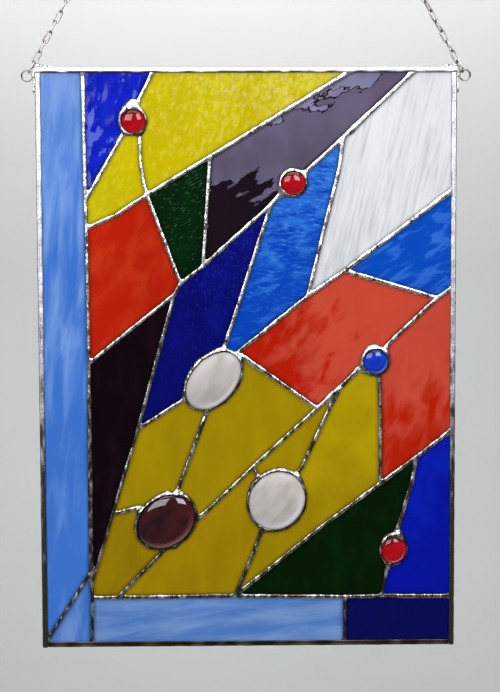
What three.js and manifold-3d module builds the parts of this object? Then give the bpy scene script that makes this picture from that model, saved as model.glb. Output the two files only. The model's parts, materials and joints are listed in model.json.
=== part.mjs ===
// A stained glass window panel in copper foil work, with seven glass nuggets, a soldered came border and a
// hanging chain. Millimetres, +Z up, the front of the panel faces -Y. The origin is the highest point
// inside the top ring, where a hook carries the panel.
//
// The glass is cut to a cartoon, the full-size drawing of the panel. Points on the cartoon are [right, up]
// from the lower left corner of the panel as the front shows it.
import * as THREE from "three";
import { mergeVertices } from "three/addons/utils/BufferGeometryUtils.js";
import Module from "manifold-3d";

const wasm = await Module();
wasm.setup();

// Driving dimensions.
const PANEL_WIDTH = 280;
const PANEL_HEIGHT = 390;
const GLASS = 3; // thickness of the sheet glass
const GAP = 0.3; // clear space between pieces that bear on each other

const CAME_FACE = 3.6; // width of the border came, seen from the front
const CAME_DEPTH = 5.6;
const CAME_HEART = 0.9; // the wall that closes the channel
const CAME_CHAMFER = 0.7;

const SEAM_WIDTH = 3; // of a plain solder seam
const SEAM_DEPTH = 5.4; // over the crests of both faces
const CREST_SHARE = 0.2; // from the middle of a seam to the edge of its flat crest, to its width
const FOIL_INSET = 0.7; // from the middle of a seam to the cut edge of the glass
const STRAIGHT = 0.02; // sides of an outline that turn less than this, in radians, are one straight side

const NUGGET_INSET = 1.2; // from the rim of a nugget to the cut edge of the glass around it
const NUGGET_SHOULDER = 0.4; // from the middle of the glass out to where the dome of a nugget starts
const DOME_STEPS = 3;

const BEZEL_LAP = 0.9; // how far a bezel covers the rim of its nugget
const BEZEL_FOOT = 3.6; // how far out its slopes would meet, in the middle of the glass
const BEZEL_CREST = 0.5; // its crest, from the rim outwards
const BEZEL_CORE = 0.4; // where the beads end inside it, from the rim outwards
const BEZEL_FRONT = 3.6; // its crest in front, from the middle of the glass
const BEZEL_BACK = 2.9; // its crest behind
const BEZEL_LIP = 2.9; // its inner edge in front
const BEZEL_LIP_THICK = 0.45;

const RING = 3.6; // radius of a corner ring, to the middle of its wire
const RING_WIRE = 0.5; // radius of that wire
const LEG_WIRE = 0.6; // radius of the wire with the solder on it
const RING_OUT = 5.3; // from the side of the panel out to the centre of the ring
const RING_DOWN = 5.4; // from the top of the panel down to the centre of the ring
const LUMP = 1.4; // radius of the lump of solder that holds the wire on top, at its thick end
const LUMP_IN = 2.6; // from the side of the panel in to its thick end
const LUMP_LENGTH = 7;
const SIDE_LEG = 17; // how far the wire runs down the side, from the top of the panel
const TOP_LEG = 12; // how far it runs along the top

const HOOK_RING = 9; // radius of the top ring, to the middle of its wire
const HOOK_WIRE = 1;

const LINKS = 39; // in each run of chain
const LINK_PITCH = 7.5;
const LINK_WIRE = 1.1; // thickness of the wire
const LINK_WIDTH = 4.2;
const LINK_BITE = 0.12; // how far neighbouring links are pressed into each other

// Where the panel hangs: each run of chain is straight, from its corner ring to the top ring.
const linkHole = LINK_PITCH - LINK_BITE;
const runStart = RING - RING_WIRE - GAP;
const runEnd = HOOK_RING - HOOK_WIRE - GAP;
const ringToRing = runStart + (LINKS - 1) * LINK_PITCH + linkHole + runEnd;
const ringX = PANEL_WIDTH / 2 + RING_OUT;
const hookRingZ = -(HOOK_RING - HOOK_WIRE);
const ringZ = hookRingZ - Math.sqrt(ringToRing ** 2 - ringX ** 2);
const topZ = ringZ + RING_DOWN;
const bottomZ = topZ - PANEL_HEIGHT;

const METALS = {
  solder: { color: 0xb9b8b4, metalness: 1, roughness: 0.3 },
  came: { color: 0xa9a7a2, metalness: 1, roughness: 0.35 },
  chain: { color: 0xb4ada4, metalness: 1, roughness: 0.3 },
};

// Colours of the sheet glass and of the nuggets.
const GLASSES = {
  sky: 0x5f8fd8,
  cobalt: 0x0a2cc4,
  yellow: 0xd8cc18,
  green: 0x06260a,
  purple: 0x4a3f52,
  white: 0xd8dade,
  blue: 0x0f66dc,
  navy: 0x08087a,
  red: 0xc02408,
  maroon: 0x140508,
  gold: 0xa68a06,
  ruby: 0xb80a12,
  sapphire: 0x1c30b8,
  pearl: 0xcfc6bc,
  amethyst: 0x4a1018,
};

// The nuggets: centre, half of the long and of the short axis over the visible glass, the turn of the long
// axis from level, how much fuller the upper end is than the lower one, the height of the dome over the
// sheet glass, and the number of sides of the outline.
const NUGGETS = {
  ruby_upper: { at: [64.7, 354.4], half: [7.8, 7.7], turn: 0, dome: 2.8, glass: "ruby", sides: 10 },
  ruby_middle: { at: [171, 313.2], half: [7.8, 7.5], turn: 0, dome: 2.8, glass: "ruby", sides: 10 },
  ruby_lower: { at: [238.7, 65.3], half: [8.8, 7.9], turn: 80, dome: 2.8, glass: "ruby", sides: 10 },
  sapphire: { at: [226.2, 193.8], half: [8.1, 8], turn: 0, dome: 2.8, glass: "sapphire", sides: 10 },
  pearl_long: { at: [117, 181.5], half: [22, 14.6], turn: 48, egg: 0.06, dome: 4, glass: "pearl", sides: 14 },
  pearl_round: { at: [159.5, 99.8], half: [20, 18.2], turn: 60, dome: 4, glass: "pearl", sides: 14 },
  amethyst: { at: [84.5, 85.8], half: [20.8, 16.4], turn: 35, dome: 4.2, glass: "amethyst", sides: 14 },
};

// The points of the cartoon. The glass runs on into the came, so a point on the border lies EDGE in from
// the panel's outer edge.
const EDGE = CAME_HEART + GAP - FOIL_INSET;
const RIGHT = PANEL_WIDTH - EDGE;
const TOP = PANEL_HEIGHT - EDGE;
const POINTS = {
  southWest: [EDGE, EDGE],
  southEast: [RIGHT, EDGE],
  northWest: [EDGE, TOP],
  northEast: [RIGHT, TOP],
  // along the top
  stripTop: [31.5, TOP],
  cobaltTop: [79.5, TOP],
  yellowTop: [213, TOP],
  purpleTop: [254, TOP],
  // down the right side
  whiteSide: [RIGHT, 310],
  kiteSide: [RIGHT, 244],
  redSide: [RIGHT, 148.5],
  footSide: [RIGHT, 33.5],
  // along the bottom
  wedgeFoot: [33.5, EDGE],
  dividerFoot: [205.5, EDGE],
  // down the long seam beside the left strip
  cobaltToe: [32.5, 302],
  yellowToe: [33, 284],
  redToe: [33.5, 193.5],
  wedgeTip: [33, 51],
  maroonToe: [34, 44.5],
  stripFoot: [34, 34],
  // along the seam over the bottom strip
  goldFoot: [51.5, 34],
  greenToe: [131, 34.5],
  dividerTop: [205.5, 33.5],
  cobaltFoot: [230.5, 34],
  // inside the panel, from the top down
  bluePeak: [204.5, 343.5],
  greenPeak: [115.5, 331],
  yellowFork: [73.5, 306],
  navyPeak: [156, 299],
  purpleFoot: [110.5, 258.5],
  redPeak: [205.5, 255],
  greenFoot: [95.5, 247],
  redHeel: [91, 239.5],
  whiteFoot: [180.5, 238],
  kiteCorner: [267.5, 236.5],
  pearlShoulder: [133.5, 200.5],
  goldPeak: [201, 175],
  redFoot: [187, 162.5],
  navyToe: [66, 149],
  greenShoulder: [254, 129],
  pearlNeck: [143, 122.5],
  goldHeel: [229.5, 111],
  goldNotch: [48.5, 91.5],
};

// The seams: from a point or nugget, over any bends, to a point or nugget. A seam that ends at a nugget is
// drawn to its centre, and the bezel takes its place there. width is [at the start, at the end] where it
// isn't plain.
const SEAMS = [
  { from: "stripTop", to: "cobaltToe" },
  { from: "cobaltToe", to: "yellowToe" },
  { from: "yellowToe", to: "redToe" },
  { from: "redToe", to: "wedgeTip" },
  { from: "wedgeTip", to: "maroonToe" },
  { from: "maroonToe", to: "stripFoot" },
  { from: "stripFoot", to: "wedgeFoot" },
  { from: "southWest", to: "wedgeTip", width: [2.2, 2.4] },
  { from: "stripFoot", to: "goldFoot", width: [3.2, 3.4] },
  { from: "goldFoot", to: "greenToe", width: [3.4, 4] },
  { from: "greenToe", to: "dividerTop", width: [3.6, 3.4] },
  { from: "dividerTop", to: "cobaltFoot", width: [3.4, 3.4] },
  { from: "cobaltFoot", to: "footSide", width: [3.6, 3.4] },
  { from: "dividerTop", to: "dividerFoot" },
  { from: "cobaltTop", via: [[68.5, 368.5]], to: "ruby_upper", width: [2.6, 2.8] },
  { from: "cobaltToe", via: [[57, 344.5]], to: "ruby_upper", width: [2.8, 3] },
  { from: "ruby_upper", via: [[69, 344], [69.3, 328], [71, 316]], to: "yellowFork", width: [2.6, 2.6] },
  { from: "yellowToe", via: [[52, 292.3]], to: "yellowFork", width: [2.6, 2.6] },
  { from: "yellowFork", to: "greenPeak", width: [2.6, 2.6] },
  { from: "greenPeak", to: "yellowTop", width: [2.6, 2.8] },
  { from: "yellowFork", to: "greenFoot", width: [2.4, 2.6] },
  { from: "greenPeak", to: "purpleFoot", width: [3, 2.6] },
  { from: "greenFoot", to: "purpleFoot", width: [2.6, 2.6] },
  { from: "purpleFoot", to: "navyPeak", width: [2.6, 3] },
  { from: "navyPeak", via: [[163, 307]], to: "ruby_middle", width: [4.4, 3.4] },
  { from: "ruby_middle", via: [[181, 322.5], [189, 329.5]], to: "bluePeak", width: [2.6, 2.6] },
  { from: "bluePeak", to: "purpleTop", width: [3, 5.4] },
  { from: "bluePeak", via: [[201.5, 322], [196, 300]], to: "whiteFoot", width: [3.4, 3] },
  { from: "navyPeak", via: [[124, 202.5]], to: "pearl_long", width: [3, 3] },
  { from: "pearl_long", to: "pearlShoulder" },
  { from: "pearlShoulder", to: "whiteFoot", width: [2.8, 2.6] },
  { from: "whiteFoot", to: "redPeak", width: [2.6, 2.6] },
  { from: "redPeak", to: "whiteSide", width: [4.4, 4.2] },
  { from: "redPeak", to: "kiteCorner", width: [2.6, 3.2] },
  { from: "kiteSide", to: "kiteCorner", width: [3.6, 3.4] },
  { from: "kiteCorner", via: [[235.5, 206.5]], to: "sapphire", width: [3.2, 3.4] },
  { from: "sapphire", via: [[215, 189]], to: "goldPeak", width: [4.2, 4.4] },
  { from: "goldPeak", to: "redFoot", width: [3.4, 3] },
  { from: "pearlShoulder", to: "redFoot", width: [2.6, 2.6] },
  { from: "redFoot", to: "pearlNeck", width: [2.8, 2.6] },
  { from: "pearlNeck", via: [[103.5, 84.5]], to: "amethyst", width: [2.6, 2.4] },
  { from: "goldPeak", via: [[176.5, 122.5]], to: "pearl_round", width: [2.8, 2.8] },
  { from: "pearlNeck", via: [[146.5, 117]], to: "pearl_round", width: [2.4, 2.4] },
  { from: "sapphire", via: [[228.7, 184], [229.5, 160]], to: "goldHeel", width: [3, 3] },
  { from: "greenToe", via: [[190, 82]], to: "goldHeel", width: [3.4, 3.4] },
  { from: "goldHeel", to: "greenShoulder", width: [3.2, 3.4] },
  { from: "greenShoulder", to: "redSide", width: [4.2, 3.4] },
  { from: "greenShoulder", via: [[251, 112], [242, 82]], to: "ruby_lower", width: [4.6, 3.6] },
  { from: "ruby_lower", via: [[234.5, 54]], to: "cobaltFoot", width: [2.8, 3] },
  { from: "redToe", to: "redHeel", width: [2.2, 2.6] },
  { from: "redHeel", to: "greenFoot", width: [3.6, 3.6] },
  { from: "redHeel", to: "navyToe", width: [3, 2.8] },
  { from: "navyToe", via: [[98, 169.5]], to: "pearl_long", width: [2.4, 2.8] },
  { from: "pearl_long", via: [[112.5, 160]], to: "amethyst", width: [3.2, 3.4] },
  { from: "navyToe", to: "goldNotch", width: [2.4, 2.4] },
  { from: "goldNotch", via: [[66, 95.5]], to: "amethyst", width: [4.2, 4.6] },
  { from: "goldNotch", to: "maroonToe", width: [2.4, 2.4] },
  { from: "amethyst", via: [[83.5, 66.5]], to: "goldFoot", width: [3.2, 3] },
  { from: "pearl_round", via: [[148.5, 78], [144, 65]], to: "greenToe", width: [4.2, 2.8] },
];

// The panes of sheet glass, each by the corners of its outline on the cartoon, anticlockwise.
const PANES = {
  strip_left: { glass: "sky", round: ["northWest", "southWest", "wedgeTip", "redToe", "yellowToe",
    "cobaltToe", "stripTop"] },
  wedge_corner: { glass: "sky", round: ["southWest", "wedgeFoot", "stripFoot", "wedgeTip"] },
  strip_bottom: { glass: "sky", round: ["stripFoot", "wedgeFoot", "dividerFoot", "dividerTop", "greenToe",
    "goldFoot"] },
  navy_bottom: { glass: "navy", round: ["dividerTop", "dividerFoot", "southEast", "footSide", "cobaltFoot"] },
  cobalt_top: { glass: "cobalt", round: ["stripTop", "cobaltToe", "ruby_upper", "cobaltTop"] },
  yellow_small: { glass: "yellow", round: ["cobaltToe", "yellowToe", "yellowFork", "ruby_upper"] },
  yellow_large: { glass: "yellow", round: ["cobaltTop", "ruby_upper", "yellowFork", "greenPeak",
    "yellowTop"] },
  green_upper: { glass: "green", round: ["yellowFork", "greenFoot", "purpleFoot", "greenPeak"] },
  purple: { glass: "purple", round: ["greenPeak", "purpleFoot", "navyPeak", "ruby_middle", "bluePeak",
    "purpleTop", "yellowTop"] },
  white: { glass: "white", round: ["purpleTop", "bluePeak", "whiteFoot", "redPeak", "whiteSide",
    "northEast"] },
  blue_slope: { glass: "blue", round: ["navyPeak", "pearl_long", "pearlShoulder", "whiteFoot", "bluePeak",
    "ruby_middle"] },
  navy_middle: { glass: "navy", round: ["greenFoot", "redHeel", "navyToe", "pearl_long", "navyPeak",
    "purpleFoot"] },
  red_left: { glass: "red", round: ["yellowToe", "redToe", "redHeel", "greenFoot", "yellowFork"] },
  maroon: { glass: "maroon", round: ["redToe", "maroonToe", "goldNotch", "navyToe", "redHeel"] },
  blue_kite: { glass: "blue", round: ["redPeak", "kiteCorner", "kiteSide", "whiteSide"] },
  red_middle: { glass: "red", round: ["pearlShoulder", "redFoot", "goldPeak", "sapphire", "kiteCorner",
    "redPeak", "whiteFoot"] },
  red_right: { glass: "red", round: ["kiteCorner", "sapphire", "goldHeel", "greenShoulder", "redSide",
    "kiteSide"] },
  gold_left: { glass: "gold", round: ["navyToe", "goldNotch", "amethyst", "pearl_long"] },
  gold_middle: { glass: "gold", round: ["pearl_long", "amethyst", "pearlNeck", "redFoot", "pearlShoulder"] },
  gold_wedge: { glass: "gold", round: ["redFoot", "pearlNeck", "pearl_round", "goldPeak"] },
  gold_right: { glass: "gold", round: ["goldPeak", "pearl_round", "greenToe", "goldHeel", "sapphire"] },
  gold_bottom: { glass: "gold", round: ["amethyst", "goldFoot", "greenToe", "pearl_round", "pearlNeck"] },
  gold_corner: { glass: "gold", round: ["goldNotch", "maroonToe", "stripFoot", "goldFoot", "amethyst"] },
  green_lower: { glass: "green", round: ["greenToe", "dividerTop", "cobaltFoot", "ruby_lower",
    "greenShoulder", "goldHeel"] },
  cobalt_right: { glass: "cobalt", round: ["greenShoulder", "ruby_lower", "cobaltFoot", "footSide",
    "redSide"] },
};

// Booleans.
function toSolid(geometry) {
  const bare = geometry.clone();
  bare.deleteAttribute("normal");
  bare.deleteAttribute("uv");
  const merged = mergeVertices(bare, 1e-4);
  const mesh = new wasm.Mesh({
    numProp: 3,
    vertProperties: new Float32Array(merged.attributes.position.array),
    triVerts: new Uint32Array(merged.index.array),
  });
  return new wasm.Manifold(mesh);
}

function toGeometry(solid) {
  const mesh = solid.getMesh();
  const geometry = new THREE.BufferGeometry();
  geometry.setAttribute("position", new THREE.BufferAttribute(mesh.vertProperties, 3));
  geometry.setIndex(new THREE.BufferAttribute(mesh.triVerts, 1));
  return geometry;
}

function joined(geometries) {
  const solids = geometries.map(toSolid);
  return solids.reduce((whole, next) => whole.add(next));
}

// Places.
function onCartoon(place) {
  if (Array.isArray(place)) {
    return new THREE.Vector2(...place);
  }
  return new THREE.Vector2(...(place in NUGGETS ? NUGGETS[place].at : POINTS[place]));
}

// The outline of a pane on the cartoon: for each side, where it starts and the widths of its seam at both
// ends. A seam that bends gives a side for each stretch. The border has no seam, and its width is zero.
function outlineOf(pane) {
  return pane.round.flatMap((start, i) => {
    const end = pane.round[(i + 1) % pane.round.length];
    const seam = SEAMS.find((s) => [s.from, s.to].includes(start) && [s.from, s.to].includes(end));
    const bends = [onCartoon(start), ...(seam?.via ?? []).map(onCartoon)];
    const widths = seam ? seam.width ?? [SEAM_WIDTH, SEAM_WIDTH] : [0, 0];
    if (seam && seam.from !== start) {
      bends.push(...bends.splice(1).reverse());
      widths.reverse();
    }
    const share = (step) => THREE.MathUtils.lerp(widths[0], widths[1], step / bends.length);
    return bends.map((point, step) => ({ point, widths: [share(step), share(step + 1)] }));
  });
}

// Turns a geometry that is drawn flat on the cartoon, with its thickness along +Z from zero, into its
// place: the cartoon stands upright, and the thickness is centred on y = 0.
function standUp(geometry, thickness) {
  geometry.rotateX(Math.PI / 2);
  geometry.translate(-PANEL_WIDTH / 2, thickness / 2, bottomZ);
  return geometry;
}

// An outline moved in: every side by a fixed distance and by a share of its seam's width. Neighbours meet
// again where the moved sides cross.
function insetOutline(outline, distance, share) {
  const points = outline.map((side) => side.point);
  const sides = outline.map(({ point, widths }, i) => {
    const end = points[(i + 1) % points.length];
    const inward = end.clone().sub(point).rotateAround(new THREE.Vector2(), Math.PI / 2).normalize();
    const ends = [point, end].map((p, k) => p.clone().addScaledVector(inward, distance + share * widths[k]));
    return { ends, along: ends[1].clone().sub(ends[0]).normalize() };
  });
  return sides.map((side, i) => {
    const before = sides[(i + sides.length - 1) % sides.length];
    const cross = before.along.cross(side.along);
    if (Math.abs(cross) < STRAIGHT) {
      return before.ends[1].clone().lerp(side.ends[0], 0.5);
    }
    const reach = side.ends[0].clone().sub(before.ends[0]).cross(side.along) / cross;
    return before.ends[0].clone().addScaledVector(before.along, reach);
  });
}

// A point on the outline of a nugget, grown outwards by grow: an oval whose upper end is fuller by its egg
// value.
function rimPoint(nugget, angle, share, grow) {
  const [long, short] = nugget.half.map((half) => half + BEZEL_LAP);
  const fuller = 1 + (nugget.egg ?? 0) * Math.cos(angle);
  const rim = new THREE.Vector2(long * Math.cos(angle), short * fuller * Math.sin(angle));
  const outward = new THREE.Vector2(short * Math.cos(angle), long * Math.sin(angle)).normalize();
  const point = rim.multiplyScalar(share).addScaledVector(outward, grow);
  point.rotateAround(new THREE.Vector2(), THREE.MathUtils.degToRad(nugget.turn));
  return point.add(onCartoon(nugget.at));
}

function rimOutline(nugget, grow) {
  const angles = Array.from({ length: nugget.sides }, (_, i) => (2 * Math.PI * i) / nugget.sides);
  return angles.map((angle) => rimPoint(nugget, angle, 1, grow));
}

// A lathe about the nugget's centre. Each profile point is [share of the outline, growth past it, depth],
// with depth towards the back, and the round of the lathe is reshaped to the nugget's own outline.
function turnNugget(nugget, profile) {
  const lathe = new THREE.LatheGeometry(
    profile.map(([share, grow, depth]) => new THREE.Vector2(share, depth)),
    nugget.sides,
  );
  const position = lathe.attributes.position;
  for (let i = 0; i < position.count; i += 1) {
    const [share, grow, depth] = profile[i % profile.length];
    const angle = Math.atan2(position.getX(i), position.getZ(i));
    const flat = rimPoint(nugget, share === 0 ? 0 : angle, share, grow);
    position.setXYZ(i, flat.x - PANEL_WIDTH / 2, depth, flat.y + bottomZ);
  }
  return lathe;
}

// The nugget's section, from the middle of its flat back round the rim to the top of its dome, a quarter of
// an ellipse. grow adds clear space all over.
function nuggetProfile(nugget, grow) {
  const back = GLASS / 2;
  const rise = back - NUGGET_SHOULDER + nugget.dome + grow;
  const profile = [[0, 0, back + grow], [1, grow, back + grow]];
  for (let i = 0; i < DOME_STEPS; i += 1) {
    const angle = (i / DOME_STEPS) * (Math.PI / 2);
    profile.push([Math.cos(angle), grow, -NUGGET_SHOULDER - rise * Math.sin(angle)]);
  }
  profile.push([0, 0, -NUGGET_SHOULDER - rise]);
  return profile;
}

// An outline drawn out to a depth and stood up, without the ovals of the nuggets that it goes round.
function makeSheet(pane, inset, depth) {
  const sheet = new THREE.Shape(insetOutline(outlineOf(pane), inset, 0));
  const ovals = pane.round.filter((corner) => corner in NUGGETS).map((name) => {
    const oval = new THREE.Shape(rimOutline(NUGGETS[name], NUGGET_INSET + inset - FOIL_INSET));
    return makePlate(oval, 2 * depth);
  });
  return ovals.reduce((rest, oval) => rest.subtract(oval), makePlate(sheet, depth));
}

function makePlate(shape, depth) {
  return toSolid(standUp(new THREE.ExtrudeGeometry(shape, { depth, bevelEnabled: false }), depth));
}

// Solder. The opening that shows a pane, a plug with sloping sides: the beads around it stand on the glass
// at half their width from the middle of the seam, and slope up to a flat crest. Past the crest the slope
// runs on.
function makeOpening(pane) {
  const outline = outlineOf(pane);
  const glass = GLASS / 2;
  const crest = SEAM_DEPTH / 2;
  const past = 2 * crest - glass;
  const levels = [[-past, 2 * CREST_SHARE - 0.5], [-glass, 0.5], [glass, 0.5], [past, 2 * CREST_SHARE - 0.5]];
  const rings = levels.map(([depth, share]) => ({ depth, points: insetOutline(outline, 0, share) }));
  const count = outline.length;
  const place = rings.flatMap(({ depth, points }) =>
    points.flatMap((p) => [p.x - PANEL_WIDTH / 2, depth, p.y + bottomZ]));
  const caps = THREE.ShapeUtils.triangulateShape(rings[0].points, []);
  const lids = caps.flatMap(([a, b, c]) => {
    const back = 3 * count;
    return [a, b, c, back + c, back + b, back + a];
  });
  const walls = [0, 1, 2].flatMap((level) => rings[0].points.flatMap((_, i) => {
    const here = level * count + i;
    const next = level * count + ((i + 1) % count);
    return [next, here, next + count, next + count, here, here + count];
  }));
  const plug = new THREE.BufferGeometry();
  plug.setAttribute("position", new THREE.Float32BufferAttribute(place, 3));
  plug.setIndex([...lids, ...walls]);
  return toSolid(plug);
}

// A bezel, a ring that holds the rim of its nugget from both sides with clear space all round.
function makeBezel(nugget) {
  const seat = GLASS / 2 + GAP;
  const profile = [
    [1, -BEZEL_LAP, -BEZEL_LIP],
    [1, -BEZEL_LAP, -BEZEL_LIP + BEZEL_LIP_THICK],
    [1, GAP, -NUGGET_SHOULDER],
    [1, GAP, seat],
    [1, -BEZEL_LAP, seat],
    [1, BEZEL_CREST, BEZEL_BACK],
    [1, BEZEL_FOOT, 0],
    [1, BEZEL_CREST, -BEZEL_FRONT],
    [1, -BEZEL_LAP, -BEZEL_LIP],
  ];
  return turnNugget(nugget, profile);
}

// All the solder, in one piece: a plate inside the border came, opened over each pane, with a bezel round
// each nugget, and hollowed where the glass runs under the beads.
function makeSolder() {
  const nuggets = Object.values(NUGGETS);
  const panes = Object.values(PANES);
  const plate = new THREE.BoxGeometry(
    PANEL_WIDTH - 2 * (CAME_FACE + GAP),
    SEAM_DEPTH,
    PANEL_HEIGHT - 2 * (CAME_FACE + GAP),
  );
  plate.translate(0, 0, bottomZ + PANEL_HEIGHT / 2);
  const openings = panes.map(makeOpening);
  const insides = nuggets.map((nugget) => new THREE.Shape(rimOutline(nugget, BEZEL_CORE)));
  const cores = insides.map((inside) => makePlate(inside, 4 * GLASS));
  const pockets = panes.map((pane) => makeSheet(pane, FOIL_INSET - GAP, GLASS + 2 * GAP));
  const beads = [...openings, ...cores].reduce((rest, room) => rest.subtract(room), toSolid(plate));
  const network = nuggets.map(makeBezel).reduce((whole, bezel) => whole.add(toSolid(bezel)), beads);
  return pockets.reduce((rest, room) => rest.subtract(room), network);
}

// Border came: a channel whose heart lies along the outer edge. The section is drawn with x from that edge
// inwards.
function makeCame(length) {
  const half = CAME_DEPTH / 2;
  const slot = GLASS / 2 + GAP;
  const section = new THREE.Shape([
    new THREE.Vector2(0, -half + CAME_CHAMFER),
    new THREE.Vector2(CAME_CHAMFER, -half),
    new THREE.Vector2(CAME_FACE, -half),
    new THREE.Vector2(CAME_FACE, -slot),
    new THREE.Vector2(CAME_HEART, -slot),
    new THREE.Vector2(CAME_HEART, slot),
    new THREE.Vector2(CAME_FACE, slot),
    new THREE.Vector2(CAME_FACE, half),
    new THREE.Vector2(CAME_CHAMFER, half),
    new THREE.Vector2(0, half - CAME_CHAMFER),
  ]);
  return new THREE.ExtrudeGeometry(section, { depth: length, bevelEnabled: false });
}

// Hanging parts.
function makeRing(radius, wire, sides, steps) {
  const ring = new THREE.TorusGeometry(radius, wire, sides, steps);
  ring.rotateX(Math.PI / 2);
  return ring;
}

// A corner ring for the right side: the ring, its wire down the side and along the top, and the lump of
// solder on top.
function makeCornerRing() {
  const legX = PANEL_WIDTH / 2 + GAP + LEG_WIRE;
  const legZ = topZ + GAP + LEG_WIRE;
  const sideLength = SIDE_LEG + GAP + 2 * LEG_WIRE;
  const ring = makeRing(RING, RING_WIRE, 5, 12).translate(ringX, 0, ringZ);
  const side = new THREE.CylinderGeometry(LEG_WIRE, LEG_WIRE, sideLength, 6);
  side.rotateX(Math.PI / 2).translate(legX, 0, legZ + LEG_WIRE - sideLength / 2);
  const top = new THREE.CylinderGeometry(LEG_WIRE, LEG_WIRE, TOP_LEG, 6);
  top.rotateZ(Math.PI / 2).translate(legX - TOP_LEG / 2, 0, legZ);
  const lump = new THREE.CylinderGeometry(LUMP / 2, LUMP, LUMP_LENGTH, 8);
  lump.rotateZ(Math.PI / 2).translate(PANEL_WIDTH / 2 - LUMP_IN - LUMP_LENGTH / 2, 0, legZ);
  const room = new THREE.BoxGeometry(PANEL_WIDTH + 2 * GAP, 2 * CAME_DEPTH, PANEL_HEIGHT + 2 * GAP);
  room.translate(0, 0, bottomZ + PANEL_HEIGHT / 2);
  return joined([ring, side, top, lump]).subtract(toSolid(room));
}

// A link lying flat in x and z: a long frame, with its hole from z = 0 up to linkHole.
function makeLink() {
  const outside = LINK_WIDTH / 2;
  const hole = outside - LINK_WIRE;
  const low = -LINK_WIRE;
  const high = linkHole + LINK_WIRE;
  const outer = [[outside, low], [outside, high], [-outside, high], [-outside, low]];
  const inner = [[hole, 0], [hole, linkHole], [-hole, linkHole], [-hole, 0]];
  const shape = new THREE.Shape(outer.map((point) => new THREE.Vector2(...point)));
  shape.holes.push(new THREE.Path(inner.map((point) => new THREE.Vector2(...point))));
  const link = new THREE.ExtrudeGeometry(shape, { depth: LINK_WIRE, bevelEnabled: false });
  return link.translate(0, 0, -LINK_WIRE / 2).rotateX(Math.PI / 2);
}

// One run of chain, from the corner ring on the given side (-1 left, 1 right) to the top ring. Every other
// link is turned a quarter, and the first and last stand square to their rings.
function makeChain(side) {
  const lean = -side * Math.asin(ringX / ringToRing);
  const links = Array.from({ length: LINKS }, (_, i) => {
    const link = makeLink();
    link.rotateZ(i % 2 === 0 ? Math.PI / 2 : 0);
    link.translate(0, 0, runStart + i * LINK_PITCH);
    link.rotateY(lean);
    return link.translate(side * ringX, 0, ringZ);
  });
  return joined(links);
}

// The window.
const panel = new THREE.Group();

function addPiece(name, solidOrGeometry, look) {
  const geometry = solidOrGeometry.isBufferGeometry ? solidOrGeometry : toGeometry(solidOrGeometry);
  const mesh = new THREE.Mesh(geometry, new THREE.MeshStandardMaterial(look));
  mesh.name = name;
  panel.add(mesh);
  return mesh;
}

for (const [name, pane] of Object.entries(PANES)) {
  const look = { color: GLASSES[pane.glass], roughness: 0.1 };
  addPiece(`pane_${name}`, makeSheet(pane, FOIL_INSET, GLASS), look);
}

for (const [name, nugget] of Object.entries(NUGGETS)) {
  const geometry = toGeometry(toSolid(turnNugget(nugget, nuggetProfile(nugget, 0))));
  addPiece(`nugget_${name}`, geometry, { color: GLASSES[nugget.glass], roughness: 0.05 });
}

addPiece("solder", makeSolder(), METALS.solder);

const cameTop = addPiece("came_top", makeCame(PANEL_WIDTH), METALS.came);
cameTop.rotation.y = Math.PI / 2;
cameTop.position.set(-PANEL_WIDTH / 2, 0, topZ);

for (const side of [-1, 1]) {
  const word = side < 0 ? "left" : "right";
  const came = addPiece(`came_${word}`, makeCame(PANEL_HEIGHT - CAME_FACE - GAP), METALS.came);
  came.rotation.z = side < 0 ? 0 : Math.PI;
  came.position.set((side * PANEL_WIDTH) / 2, 0, bottomZ);
}

const bottomLength = PANEL_WIDTH - 2 * (CAME_FACE + GAP);
const cameBottom = addPiece("came_bottom", makeCame(bottomLength), METALS.came);
cameBottom.rotation.y = -Math.PI / 2;
cameBottom.position.set(bottomLength / 2, 0, bottomZ);

const cornerRight = toGeometry(makeCornerRing());
const cornerLeft = toGeometry(makeCornerRing().mirror([1, 0, 0]));
addPiece("corner_ring_right", cornerRight, METALS.chain);
addPiece("corner_ring_left", cornerLeft, METALS.chain);
addPiece("chain_left", makeChain(-1), METALS.chain);
addPiece("chain_right", makeChain(1), METALS.chain);
const hookRing = addPiece("hook_ring", makeRing(HOOK_RING, HOOK_WIRE, 6, 16), METALS.chain);
hookRing.position.set(0, 0, hookRingZ);

export default panel;
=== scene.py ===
"""Finishes of the stained glass window: sheet glass, nuggets, solder, border came, rings and chain.

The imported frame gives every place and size. All lengths are in metres, +Z is up and the front faces -Y.
"""

import json

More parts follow.
